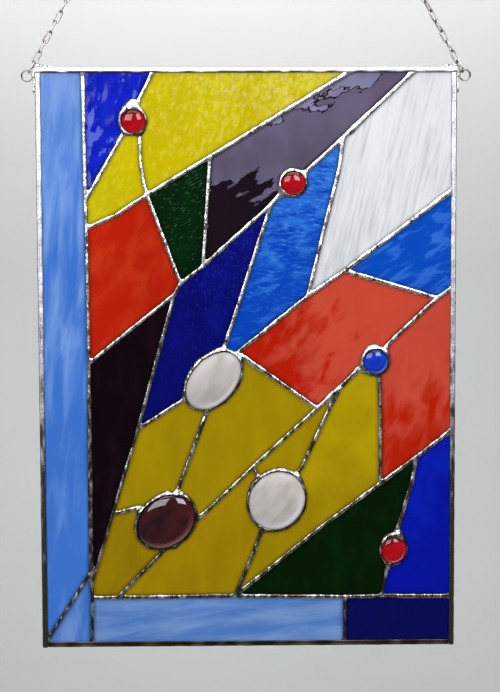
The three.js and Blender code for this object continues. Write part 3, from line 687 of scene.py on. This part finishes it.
class WireSettings(bpy.types.PropertyGroup):
    """The sizes of the chains."""

    link_pitch: length_setting("Link pitch", "Length of chain that each link adds", 7.5)
    link_width: length_setting("Link width", "Width of a link outside", 4.2)
    wire: length_setting("Chain wire", "Thickness of the chain's wire", 1.1)
    twist: angle_setting("Chain twist", "How far the links are turned from facing straight ahead", 18)
    clear: length_setting("Ring clearance", "Between a ring's wire and the link on it", 0.3)


class StageSettings(bpy.types.PropertyGroup):
    """The camera and the backdrop."""

    azimuth: angle_setting("Camera turn", "How far right of straight ahead the camera looks", 0.764)
    elevation: angle_setting("Camera height", "How steeply the camera looks down", 3.733)
    roll: angle_setting("Camera roll", "Turn of the camera about its own axis", -0.226)
    distance: length_setting("Camera distance", "From the camera to the panel", 900)
    lens: bpy.props.FloatProperty(name="Lens", description="Focal length in millimetres", default=69.6, unit="CAMERA")
    aside: length_setting("Aim aside", "How far right of the middle of the panel the camera aims", 1.75)
    rise: length_setting("Aim up", "How far over the middle of the panel the camera aims", 9.5)
    paper: colour_setting("Backdrop colour", "The paler parts of the backdrop's paper", linear(0xC6C7C5))


# Pieces


def look_of(node, colours):
    """How a pane or a nugget is finished: its slot's glass in the colours that are set, with what is its own."""
    slot = SLOT_OF[node]
    usual = {**USUAL_SHEET, **SHEETS[slot]} if slot in SHEETS else {**USUAL_GEM, **GEMS[slot]}
    own = PANES.get(node, {})
    look = {**usual, **own}
    for tone in TONES:
        if tone in look:
            look[tone] = linear(own[tone]) if tone in own else tuple(getattr(colours, f"{slot}_{tone}"))
    return look


def metal(kind):
    """The material of a metal, in the colours that are set."""
    colours = bpy.context.scene.window_colours
    bright, dull = (tuple(getattr(colours, f"{kind}_{tone}")) for tone in ("bright", "dull"))
    return finish(METALS[kind]["label"], METALS[kind]["make"], bright, dull, **METALS[kind]["more"])


def make_pane(node, seed, settings, colours):
    """One pane of rolled glass: front and back faces with y = -/+ (t / 2 + h w), joined round the edge.

    w is an uneven field of waves and h their height. The glass runs under the solder round a nugget, and its painted
    shade is (1.3 - d / 2.2 mm) ** 1.5 at a distance d from its edge.
    """
    look = look_of(node, colours)
    under_bezel, shade_reach = 0.4 * MM, 2.2 * MM
    stretches = drawn_in(outline_of(node), under_bezel)
    low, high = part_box(node)
    pitch = settings.pitch
    x = np.arange(low.x - 2 * pitch, high.x + 3 * pitch, pitch)
    z = np.arange(low.z - 2 * pitch, high.z + 3 * pitch, pitch)
    away = distance_to(stretches, x, z, 4 * MM)
    field = np.where(inside_of(stretches, x, z), away, -away)
    flat, faces, i, j = cut_grid(x, z, field)
    shade = np.clip(1.3 - field[i, j] / shade_reach, 0, 1) ** 1.5
    size, height = (value * MM for value in look["wave"])
    shape = dict(stretch=look["drawn"], lean=look["lean"] * DEGREE)
    count = len(flat)
    places = np.zeros((2 * count, 3))
    for side, edge in ((0, low.y), (1, high.y)):
        part = slice(side * count, (side + 1) * count)
        wave = waves(*flat.T, size, 9 * seed + side, **shape)
        wave += 0.4 * waves(*flat.T, size / 2.3, 9 * seed + 2 + side, **shape)
        places[part, 0], places[part, 2] = flat.T
        places[part, 1] = edge - np.sign(edge) * 0.6 * height + 0.6 * height * settings.waviness * wave
    rim = rim_edges(faces)
    sides = np.stack([rim[:, 1], rim[:, 0], rim[:, 0] + count, rim[:, 1] + count], axis=1)
    every = np.concatenate([faces, faces[:, ::-1] + count, sides])
    # The edge mark is painted shade along the pane's edges.
    marks = {"edge": np.concatenate([shade, shade])}
    name = f"{look['label']}, {node[5:].replace('_', ' ')}"
    material = finish(name, sheet_glass, look, node, seed)
    make_piece(node.replace("pane_", "glass_"), places, every, node, material, marks)


class WINDOW_OT_panes(bpy.types.Operator):
    """Lays in the panes of sheet glass."""

    bl_idname = "window.panes"
    bl_label = "Panes"

    def execute(self, context):
        scene = context.scene
        for seed, node in enumerate(sorted(name for name in frame["nodes"] if name.startswith("pane_"))):
            make_pane(node, seed, scene.window_glass, scene.window_colours)
        return {"FINISHED"}


def nugget_form(nugget, fullness, seed, steps=20, sides=72):
    """A nugget on its ellipse: at share s of the rim, the dome lies at y = shoulder - rise (1 - s^p)^(1/p).

    Its back is flat and its rim is rounded off between the two. Its marks are painted light, a crescent inside the rim
    on the lower side, the heart, 1 - s^2, and painted shade, which grows with s towards the upper side.
    """
    rounding = 0.6 * MM
    shoulder = nugget.back - 1.9 * MM
    rise = shoulder - nugget.top
    turn = np.linspace(0, 0.5 * np.pi, steps)
    share = np.sin(turn)
    depth = shoulder - rise * (1 - share**fullness) ** (1 / fullness)
    under = np.linspace(0, 0.5 * np.pi, 6)[1:]
    corner = rounding / nugget.half[1]
    share = np.concatenate([share, 1 - corner * (1 - np.cos(under)), [0.5, 0.0]])
    depth = np.concatenate([depth, nugget.back + rounding * (np.sin(under) - 1), [nugget.back] * 2])
    angle = np.arange(sides) * TURN / sides
    uneven = 1 + 0.012 * np.sin(2 * angle + seed) + 0.008 * np.sin(3 * angle + 2 * seed)
    along = nugget.half[0] * share[:, None] * np.cos(angle) * uneven
    across = nugget.half[1] * share[:, None] * np.sin(angle) * uneven
    cos, sin = np.cos(nugget.turn), np.sin(nugget.turn)
    x = nugget.centre[0] + along * cos - across * sin
    z = nugget.centre[1] + along * sin + across * cos
    y = np.broadcast_to(depth[:, None], x.shape)
    below = np.clip(np.cos(angle + nugget.turn - LOWER_SIDE), 0, 1) ** 1.5
    above = share[:, None] * np.cos(angle + nugget.turn - UPPER_SIDE)
    rim = np.clip((share - 0.72) / 0.14, 0, 1) * np.clip((0.97 - share) / 0.08, 0, 1)
    # Painted light in a crescent on the lower rim, and painted shade over the top.
    marks = {
        "glow": 0.8 * rim[:, None] * below,
        "heart": np.broadcast_to(1 - share[:, None] ** 2, x.shape),
        "painted_shadow": np.clip((above - 0.35) / 0.35, 0, 1),
    }
    marks = {mark: values.reshape(-1) for mark, values in marks.items()}
    return np.stack([x, y, z], axis=-1).reshape(-1, 3), tube_faces(len(share), sides, False), marks


class WINDOW_OT_nuggets(bpy.types.Operator):
    """Sets the glass nuggets."""

    bl_idname = "window.nuggets"
    bl_label = "Nuggets"

    def execute(self, context):
        scene = context.scene
        for seed, nugget in enumerate(NUGGETS):
            places, faces, marks = nugget_form(nugget, scene.window_glass.dome, seed)
            look = look_of(nugget.node, scene.window_colours)
            material = finish(look["label"], gem_glass, look)
            make_piece(nugget.node.replace("nugget_", "gem_"), places, faces, nugget.node, material, marks)
        return {"FINISHED"}


def seam_widths(x, z, cut_edges):
    """The width of the seams at each place of a grid, from where the beads of the frame's solder meet the glass.

    There a bead stands out 0.425 of its width from the middle of the seam. Between those corners the width is their
    average, weighed by one over the distance cubed.
    """
    places = corners_of("solder").reshape(-1, 3)
    plane = -(FACE + 0.3 * MM)
    feet = np.unique(np.round(places[np.abs(places[:, 1] - plane) < 2 * FLAT][:, [0, 2]], 6), axis=0)
    run = cut_edges[:, 1] - cut_edges[:, 0]
    share = np.einsum("fek,ek->fe", feet[:, None] - cut_edges[None, :, 0], run) / (run**2).sum(axis=1)
    nearest = cut_edges[None, :, 0] + np.clip(share, 0, 1)[..., None] * run
    off = np.linalg.norm(feet[:, None] - nearest, axis=2).min(axis=1)
    good = (off > 0.15 * MM) & (off < 1.7 * MM)
    feet, width = feet[good], (off[good] + CUT) / 0.425
    total, weight = np.zeros((len(x), len(z))), np.zeros((len(x), len(z)))
    for (right, up), wide in zip(feet, width):
        close = 1 / (np.hypot(x[:, None] - right, z[None, :] - up) + 1 * MM) ** 3
        total += wide * close
        weight += close
    return total / weight


def eased(first, second, reach):
    """The larger of two fields, with the corner between them filled: up to reach / 4 more where they are equal."""
    return np.maximum(first, second) + 0.25 * reach * np.clip(1 - np.abs(first - second) / reach, 0, 1) ** 2


# Where the solder of meeting seams has run together: how much further it reaches there (mm), and over what length
# (mm), round the top corner of a pane.
SWELLS = {"pane_gold_wedge": (0.9, 8), "pane_gold_right": (0.3, 10)}

# Where the solder round a nugget is drawn out: the direction in degrees from the right, anticlockwise, how much
# further it reaches (mm), and over how many degrees.
POOLS = {
    "nugget_ruby_upper": ((88, 5.2, 26), (130, 1.2, 30), (238, 1.6, 16), (306, 1.8, 18)),
    "nugget_ruby_middle": ((38, 2.6, 15), (95, 0.7, 30), (200, 1.0, 24), (226, 3.6, 15)),
    "nugget_ruby_lower": ((72, 3.4, 22), (120, 1.2, 20), (256, 2.6, 14)),
    "nugget_sapphire": ((46, 2.6, 15), (105, 1.8, 34), (212, 3.2, 18), (278, 1.2, 14)),
    "nugget_pearl_long": ((38, 2.0, 9), (78, 1.6, 12), (140, 0.7, 40), (205, 1.2, 8), (262, 1.2, 8)),
    "nugget_pearl_round": ((48, 2.0, 12), (85, 0.8, 26), (146, 1.2, 8), (246, 2.8, 9)),
    "nugget_amethyst": ((62, 2.2, 14), (96, 1.0, 12), (160, 1.8, 10), (288, 1.8, 9)),
}


def drawn_out(nugget, x, z):
    """How much further the solder reaches at each place, the sum of d exp(-(a / w)^2) over the nugget's pools."""
    angle = np.arctan2(z - nugget.centre[1], x - nugget.centre[0]) / DEGREE
    total = np.zeros(np.shape(x))
    for direction, reach, spread in POOLS[nugget.node]:
        off = (angle - direction + 180) % 360 - 180
        total += reach * MM * np.exp(-np.abs(off / spread) ** 1.5)
    return total


def bezel(nugget, x, z, height, seed, settings):
    """The solder round a nugget on a grid: a ridge just outside the rim, with an elliptical slope on each side.

    It is fullest on the upper left, wanders in width and is drawn out in pools. Gives its heights, how far inside its
    outer edge and how far outside its lap each place is, and the painted shade it gets on the nugget's lower right.
    """
    past = nugget.past_rim(x, z)
    drawn = drawn_out(nugget, x, z)
    lower = np.cos(np.arctan2(z - nugget.centre[1], x - nugget.centre[0]) - LOWER_SIDE)
    full = 0.5 - 0.5 * lower
    least, ridge, inner_slope = 0.55 * MM, 0.2 * MM, 2.2 * MM
    reach = least + (settings.bezel_reach - least) * full + drawn
    reach += 0.1 * MM * (1 + full) * waves(x, z, 5 * MM, seed + 10)
    lap = settings.bezel_lap * (0.3 + 0.7 * full) + 0.12 * drawn
    lap += 0.12 * MM * waves(x, z, 3 * MM, seed + 20)
    top = height * (0.6 + 0.4 * full + drawn / (14 * MM))
    slope = np.where(past > ridge, (past - ridge) / (reach - ridge), (ridge - past) / inner_slope)
    shade = np.clip(lower, 0, 1) * (past < 2.5 * MM)
    return top * np.sqrt(np.clip(1 - slope**2, 0, 1)), reach - past, past + lap, shade


def solder_skin(side, pitch, seed, settings):
    """One face of the solder, -1 in front and 1 behind, as heights over the glass.

    A seam of width w has the height c sqrt(1 - (2 d / w)^2) at a distance d from its middle. The bezels are added to
    the seams, both wander in width and height, and the corners where they meet are filled.
    """
    low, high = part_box("solder")
    outlines = np.concatenate([outline_of(name) for name in frame["nodes"] if name.startswith("pane_")])
    middle = outlines.mean(axis=1)
    border = (np.abs(middle[:, 0]) > high.x) | (middle[:, 1] > high.z) | (middle[:, 1] < low.z)
    from_rims = np.min([np.abs(n.past_rim(*outlines.T) - RIM_SPACE).max(axis=0) for n in NUGGETS], axis=0)
    cuts = outlines[~border & ~(from_rims < 1 * MM)]
    margin = 0.8 * MM
    x = np.arange(low.x - margin, high.x + margin + pitch, pitch)
    z = np.arange(low.z - margin, high.z + margin + pitch, pitch)
    grid_x, grid_z = np.meshgrid(x, z, indexing="ij")
    away = distance_to(cuts, x, z, 4 * MM)
    off = np.where(inside_of(outlines, x, z), settings.foil + away, np.maximum(settings.foil - away, 0))

    to_border = np.minimum.reduce([high.x - np.abs(grid_x), high.z - grid_z, grid_z - low.z])
    thin = np.interp(z, [low.z, high.z], [0.37, 0.48])[None, :]
    half = np.maximum(thin * seam_widths(x, z, cuts), 1.0 * MM)
    half *= 1 + 0.1 * waves(grid_x, grid_z, 12 * MM, seed) + 0.03 * waves(grid_x, grid_z, 4 * MM, seed + 1)
    half += 0.8 * MM * np.exp(-np.maximum(to_border, 0) / (1.6 * MM))
    for pane, (extra, spread) in SWELLS.items():
        corners = outline_of(pane).reshape(-1, 2)
        corner = corners[corners[:, 1].argmax()]
        from_corner = (grid_x - corner[0]) ** 2 + (grid_z - corner[1]) ** 2
        half += extra * MM * np.exp(-(from_corner / (spread * MM) ** 2))
    field = half - off
    lumpy = 1 + 0.2 * waves(grid_x, grid_z, 12 * MM, seed + 2) + 0.05 * waves(grid_x, grid_z, 4.5 * MM, seed + 3)
    crest = settings.crest * np.sqrt(np.clip(half / (1.5 * MM), 0.4, 2))
    heights = crest * np.sqrt(np.clip(1 - (off / half) ** 2, 0, 1))

    inner, shaded = np.full(grid_x.shape, 1.0), np.zeros(grid_x.shape)
    top = settings.bezel if side < 0 else 0.65 * settings.bezel
    for turn, nugget in enumerate(NUGGETS):
        ridge, into, past_lap, shade = bezel(nugget, grid_x, grid_z, top, seed + turn, settings)
        heights = eased(heights, ridge, 0.8 * MM)
        field = eased(field, np.minimum(into, 3 * MM), 1.5 * MM)
        inner, shaded = np.minimum(inner, past_lap), np.maximum(shaded, shade)

    narrow = 0.8 * MM
    cover = blurred(np.clip(field / pitch + 0.5, 0, 1), int(round((narrow / pitch) ** 2 * 2)))
    field = np.minimum(np.where(field < narrow, (cover - 0.46) * 2.2 * MM, field), inner)
    heights = blurred(heights, 2) * lumpy
    flat, faces, i, j = cut_grid(x, z, field)
    depth = field[i, j]
    foot = 0.35 * MM
    lift = heights[i, j] * np.sqrt(np.clip(depth / foot, 0, 1))
    lift = np.where(inner[i, j] < 1.0 * MM, np.maximum(heights[i, j], 0.3 * MM), lift)
    sunk = 0.12 * MM
    places = np.stack([flat[:, 0], side * (FACE - sunk + lift), flat[:, 1]], axis=1)

    # Painted shade on the beads' lower and right flanks, along their feet on the glass, and at a nugget's lower right.
    slope_x, slope_z = np.gradient(blurred(heights, 1), pitch)
    lower = np.clip(1.6 * (0.9 * slope_z - 0.45 * slope_x)[i, j] - 0.2, 0, 1)
    grime = 1.1 * lower + 0.7 * np.clip(1.4 - depth / foot, 0, 1) + 0.4 * shaded[i, j]
    return places, faces if side < 0 else faces[:, ::-1], np.clip(grime, 0, 0.95)


class WINDOW_OT_solder(bpy.types.Operator):
    """Runs the solder along the seams and round the nuggets, in front and behind."""

    bl_idname = "window.solder"
    bl_label = "Solder"

    def execute(self, context):
        settings = context.scene.window_solder
        material = metal("solder")
        for side, word, pitch in ((-1, "front", settings.pitch), (1, "back", 1.5 * settings.pitch)):
            places, faces, grime = solder_skin(side, pitch, 300 + 50 * side, settings)
            make_piece(f"solder_{word}", places, faces, "solder", material, {"grime": grime})
        return {"FINISHED"}


def came_form(node, seed):
    """A length of channel: its U section, swept along the piece, with a groove down its face and uneven tin on it."""
    low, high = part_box(node)
    size = high - low
    upright = size.z > size.x
    length = size.z if upright else size.x
    face = size.x if upright else size.z
    middle = (low + high) / 2
    outward = np.sign(middle.x) if upright else (1 if "top" in node else -1)
    half = 0.5 * size.y
    slot = 1.8 * MM
    bend, lip = 1.2 * MM, 0.4 * MM
    turn = np.linspace(0, 0.5 * np.pi, 7)
    # Section points: inward, depth, painted shade (in the groove, on the lip, most on the top channel, and in the
    # slot).
    outer = [(bend - bend * np.sin(t), half - bend + bend * np.cos(t), 0.0) for t in turn]
    groove = [(1.35 * MM, half, 0.0), (1.6 * MM, half - 0.18 * MM, 1.0), (1.85 * MM, half, 0.0)]
    inner = 1.0 if "top" in node else 0.4
    rim = [(face - 1.3 * MM, half, 0.0), (face - 1.0 * MM, half, inner)]
    rim += [(face - lip + lip * np.sin(t), half - lip + lip * np.cos(t), inner) for t in turn]
    upper = outer[::-1] + groove + rim + [(face, slot, 1.0), (0.9 * MM, slot, 1.0)]
    section = np.array(upper + [(inward, -depth, dark) for inward, depth, dark in upper[::-1]])
    steps = int(length / (1.5 * MM))
    run = np.linspace(0, length, steps)
    inward, depth, dark = (section[None, :, k] for k in range(3))
    even = np.zeros_like(depth)
    swell = 0.07 * MM * waves(run[:, None] + even, depth, 9 * MM, seed, count=10)
    off = inward + swell * (inward < 0.5 * bend)
    deep = depth + swell * np.sign(depth) * (np.abs(depth) > 1.1 * slot)
    patchy = 0.75 + 0.6 * waves(run[:, None] + even, 2.5 * depth, 14 * MM, seed + 9)
    across = outward * (0.5 * face - off)
    along = run[:, None] - 0.5 * length + np.zeros_like(off)
    if upright:
        places = np.stack([middle.x + across, middle.y + deep, middle.z + along], axis=-1)
    else:
        places = np.stack([middle.x + along, middle.y + deep, middle.z + across], axis=-1)
    flip = (outward > 0) == upright
    faces = tube_faces(steps, len(section), False)
    # Painted shade, uneven along the length, and the whole bottom channel painted dark as in shade.
    grime = np.clip(np.maximum(dark, 0.9 * ("bottom" in node)) * patchy, 0, 0.9)
    return places.reshape(-1, 3), faces[:, ::-1] if flip else faces, grime.reshape(-1)


class WINDOW_OT_border(bpy.types.Operator):
    """Closes the border with four lengths of channel."""

    bl_idname = "window.border"
    bl_label = "Border"

    def execute(self, context):
        material = metal("channel")
        for seed, node in enumerate(("came_top", "came_left", "came_right", "came_bottom")):
            places, faces, grime = came_form(node, 70 + seed)
            make_piece(node.replace("came_", "channel_"), places, faces, node, material, {"grime": grime})
        return {"FINISHED"}


def circle(centre, radius, steps, start=0.0):
    """A circle that faces the front: centre + r (cos a, 0, sin a)."""
    angle = start + np.arange(steps) * TURN / steps
    return np.stack([centre[0] + radius * np.cos(angle), np.full(steps, centre[1]),
                     centre[2] + radius * np.sin(angle)], axis=1)


def lump(centre, size, seed, steps=14, sides=20):
    """A lump of solder: an ellipsoid whose radius swells by an uneven field."""
    down = np.linspace(0, np.pi, steps)[:, None]
    angle = np.arange(sides)[None, :] * TURN / sides
    swell = 1 + 0.14 * waves(np.cos(angle) * np.sin(down), np.cos(down) + np.sin(angle) * np.sin(down), 1.3, seed)
    swell[[0, -1]] = 1
    ball = np.stack([np.cos(down) + 0 * angle, np.sin(down) * np.cos(angle), np.sin(down) * np.sin(angle)], axis=-1)
    places = np.array(centre) + np.array(size) * ball * swell[..., None]
    return places.reshape(-1, 3), tube_faces(steps, sides, False)


def ring_centre(side):
    """The centre of the corner ring on the right, 1, or on the left, -1."""
    low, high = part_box("corner_ring_right" if side > 0 else "corner_ring_left")
    far = high.x if side > 0 else -low.x
    return np.array([side * (far - RING - RING_WIRE), 0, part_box("came_top")[1].z - RING_DROP])


def corner_form(side):
    """A corner ring in two parts: the wire, a ring with tails down the side and along the top, and its solder.

    Both are worked out on the right and mirrored. A tail is a path that wanders by sines, and thins out at its end.
    """
    low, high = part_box("came_right" if side > 0 else "came_left")
    edge = high.x if side > 0 else -low.x
    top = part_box("came_top")[1].z
    centre = ring_centre(side) * (side, 1, 1)
    leg = edge + 0.85 * MM
    run = np.linspace(0, 1, 24)
    tail = np.stack([leg + 0.1 * MM * np.sin(9 * run), 0.12 * MM * np.sin(7 * run),
                     top + 0.9 * MM - 17.6 * MM * run], axis=1)
    along = np.stack([leg - 11.4 * MM * run, 0.1 * MM * np.sin(8 * run), top + 0.95 * MM - 0.25 * MM * run], axis=1)
    thin = 0.7 * MM * np.sqrt(np.clip((1.02 - run) * 12, 0, 1)) * (1 + 0.05 * np.sin(23 * run))
    solder = [sweep(path, thin, 12) for path in (tail, along)]
    for places, _ in solder:
        places[:, 1] *= 0.6
    # Each lump's place right of the leg and over the top, its half sizes (mm), and its seed.
    by_ring = (centre[2] + 0.2 * MM - top) / MM
    for right, up, sizes, seed in (
        (-2.4, 0.9, (2.3, 1.4, 1.7), 5),
        (-5.0, 0.7, (1.9, 1.4, 1.1), 8),
        (-7.9, 0.6, (2.1, 1.3, 0.8), 9),
        (-0.1, 0.5, (1.0, 1.1, 1.3), 6),
        (0.35, by_ring, (0.75, 0.8, 1.7), 7),
    ):
        solder.append(lump((leg + right * MM, 0, top + up * MM), np.array(sizes) * MM, seed))
    formed = []
    for places, faces in (sweep(circle(centre, RING, 48), 1.2 * RING_WIRE, 12, closed=True), gathered(solder)):
        # Dark veins on the solder over the top, and painted shade on the lower end of the tail down the side.
        veins = waves(places[:, 0], places[:, 2], 3.2 * MM, 40 + side)
        grime = np.clip(1.5 - 7 * np.abs(veins - 0.15), 0, 0.92) * (places[:, 2] > top - 1 * MM)
        grime = np.maximum(grime, np.clip((top - 15.2 * MM - places[:, 2]) / (0.8 * MM), 0, 0.95))
        places[:, 0] *= side
        formed.append((places, faces if side > 0 else faces[:, ::-1], grime))
    return formed


class WINDOW_OT_corner_rings(bpy.types.Operator):
    """Solders the corner rings to the border."""

    bl_idname = "window.corner_rings"
    bl_label = "Corner rings"

    def execute(self, context):
        kinds = (("loop", metal("ring")), ("joint", metal("solder")))
        for side, word in ((-1, "left"), (1, "right")):
            for (kind, material), (places, faces, grime) in zip(kinds, corner_form(side)):
                make_piece(f"corner_{kind}_{word}", places, faces, f"corner_ring_{word}", material, {"grime": grime})
        return {"FINISHED"}


def chain_form(side, settings):
    """A run of links, each a loop of wire with straight sides and round ends, every other one turned a quarter.

    It runs straight from a corner ring to the top ring, and each link is turned a little more or less than the last.
    """
    start = ring_centre(side)
    low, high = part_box("hook_ring")
    run = np.array((low + high) / 2) - start
    length = np.linalg.norm(run)
    ahead = run / length
    flat = np.array([-ahead[2], 0, ahead[0]])
    deep = np.array([0, 1, 0])
    first = RING - RING_WIRE - settings.clear
    count = int(round((length - first - (high.x - low.x) / 2) / settings.link_pitch))
    bend = 0.5 * (settings.link_width - settings.wire)
    slack = 0.12 * MM
    straight = settings.link_pitch - slack + settings.wire - 2 * bend
    steps, sides = 32, 10
    angle = (np.arange(steps) + 0.5) * TURN / steps
    across = bend * np.cos(angle)
    along = bend * np.sin(angle) + np.sign(np.sin(angle)) * 0.5 * straight
    parts = []
    for link in range(count):
        middle = first - 0.5 * settings.wire + 0.5 * straight + bend + link * settings.link_pitch
        wide, other = (deep, flat) if link % 2 == 0 else (flat, -deep)
        tilt = settings.twist + 0.16 * np.sin(5.1 * link + side)
        wide = wide * np.cos(tilt) + other * np.sin(tilt)
        path = start + (middle + along)[:, None] * ahead + across[:, None] * wide
        parts.append(sweep(path, 0.5 * settings.wire, sides, closed=True))
    # Painted shade at the round ends, where the links touch.
    touching = np.repeat(np.clip((np.abs(np.sin(angle)) - 0.72) / 0.12, 0, 0.95), sides)
    return *gathered(parts), np.tile(touching, count)


class WINDOW_OT_chains(bpy.types.Operator):
    """Hangs the two runs of chain."""

    bl_idname = "window.chains"
    bl_label = "Chains"

    def execute(self, context):
        material = metal("chain")
        for side, word in ((-1, "left"), (1, "right")):
            places, faces, touching = chain_form(side, context.scene.window_wire)
            make_piece(f"links_{word}", places, faces, f"chain_{word}", material, {"grime": touching})
        low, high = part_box("hook_ring")
        wire = 0.5 * (high.y - low.y) / np.cos(np.pi / 6)
        radius = 0.5 * (high.x - low.x) - wire
        places, faces = sweep(circle(np.array((low + high) / 2), radius, 96), wire, 16, closed=True)
        make_piece("top_ring", places, faces, "hook_ring", material)
        return {"FINISHED"}


# Stage


def softbox(name, place, target, size, power, tint=0xFFFFFF):
    """A soft light that faces a target."""
    light = bpy.data.lights.new(name, "AREA")
    light.shape = "RECTANGLE"
    light.size, light.size_y = size
    light.energy = power
    light.color = linear(tint)[:3]
    lamp = bpy.data.objects.new(name, light)
    lamp.location = place
    lamp.rotation_euler = (Vector(target) - Vector(place)).to_track_quat("-Z", "Y").to_euler()
    bpy.context.scene.collection.objects.link(lamp)


def backdrop_form():
    """A pale floor that rises behind in a quarter circle to a wall."""
    floor, back, bend, top, front = -1.3, 2.6, 0.9, 1.6, -0.6
    turn = np.linspace(0, 0.5 * np.pi, 24)
    y = np.concatenate([[front], back - bend + bend * np.sin(turn), [back]])
    z = np.concatenate([[floor], floor + bend - bend * np.cos(turn), [top]])
    x = np.array([-4.0, 4.0])
    places = np.stack([np.broadcast_to(x[:, None], (2, len(y))), np.broadcast_to(y, (2, len(y))),
                       np.broadcast_to(z, (2, len(z)))], axis=-1).reshape(-1, 3)
    here = np.arange(len(y) - 1)
    faces = np.stack([here, here + len(y), here + len(y) + 1, here + 1], axis=1)
    return places, faces


class WINDOW_OT_stage(bpy.types.Operator):
    """Sets the camera, the lights and the pale backdrop."""

    bl_idname = "window.stage"
    bl_label = "Stage"

    def execute(self, context):
        scene = context.scene
        settings = scene.window_stage
        low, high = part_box("came_bottom")[0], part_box("came_top")[1]
        aim = Vector((settings.aside, 0, (low.z + high.z) / 2 + settings.rise))
        camera = bpy.data.objects.new("Camera", bpy.data.cameras.new("Camera"))
        camera.data.lens = settings.lens
        turn = Euler((np.pi / 2 - settings.elevation, 0, -settings.azimuth)).to_matrix()
        turn = turn @ Euler((0, 0, settings.roll)).to_matrix()
        camera.rotation_euler = turn.to_euler()
        camera.location = aim - settings.distance * (turn @ Vector((0, 0, -1)))
        scene.collection.objects.link(camera)
        scene.camera = camera
        scene.view_settings.view_transform = "Standard"

        material = finish("Pale backdrop", matt_paper, tuple(settings.paper))
        make_object("backdrop", *backdrop_form(), material)

        softbox("Left window light", (-0.95, -2.0, 0.5), aim, (1.4, 1.1), 30, 0xF4F7FF)
        softbox("Right window light", (0.65, -2.0, 0.6), aim, (0.8, 1.0), 26, 0xF4F7FF)
        softbox("Overhead light", (0, -1.0, 1.6), aim, (2.4, 1.4), 30)
        softbox("Backdrop light", (0, 1.5, 1.3), (0, 2.6, 0.7), (2.6, 0.6), 50)
        world = bpy.data.worlds.new("Studio")
        world.use_nodes = True
        background = world.node_tree.nodes["Background"]
        background.inputs["Color"].default_value = linear(0xCFD3D8)
        background.inputs["Strength"].default_value = 0.22
        scene.world = world
        return {"FINISHED"}


class WINDOW_PT_panel(bpy.types.Panel):
    """Lists the pieces of the window and their settings."""

    bl_idname = "WINDOW_PT_panel"
    bl_label = "Stained glass window"
    bl_space_type = "VIEW_3D"
    bl_region_type = "UI"
    bl_category = "Window"

    def draw(self, context):
        for kind, name in SETTINGS.items():
            box = self.layout.box()
            for field in kind.__annotations__:
                box.prop(getattr(context.scene, name), field)
        for kind in OPERATORS:
            self.layout.operator(kind.bl_idname)


SETTINGS = {
    ColourSettings: "window_colours",
    GlassSettings: "window_glass",
    SolderSettings: "window_solder",
    WireSettings: "window_wire",
    StageSettings: "window_stage",
}
OPERATORS = (
    WINDOW_OT_panes,
    WINDOW_OT_nuggets,
    WINDOW_OT_solder,
    WINDOW_OT_border,
    WINDOW_OT_corner_rings,
    WINDOW_OT_chains,
    WINDOW_OT_stage,
)


def register():
    """Makes the settings, the operators and the panel known."""
    for kind in (*SETTINGS, *OPERATORS, WINDOW_PT_panel):
        bpy.utils.register_class(kind)
    for kind, name in SETTINGS.items():
        setattr(bpy.types.Scene, name, bpy.props.PointerProperty(type=kind))


def unregister():
    """Takes away what register has added, the last of it first."""
    for name in SETTINGS.values():
        delattr(bpy.types.Scene, name)
    for kind in reversed((*SETTINGS, *OPERATORS, WINDOW_PT_panel)):
        bpy.utils.unregister_class(kind)


def main():
    """Makes every piece and the stage."""
    register()
    for kind in OPERATORS:
        group, name = kind.bl_idname.split(".")
        getattr(getattr(bpy.ops, group), name)()


if __name__ == "__main__":
    main()
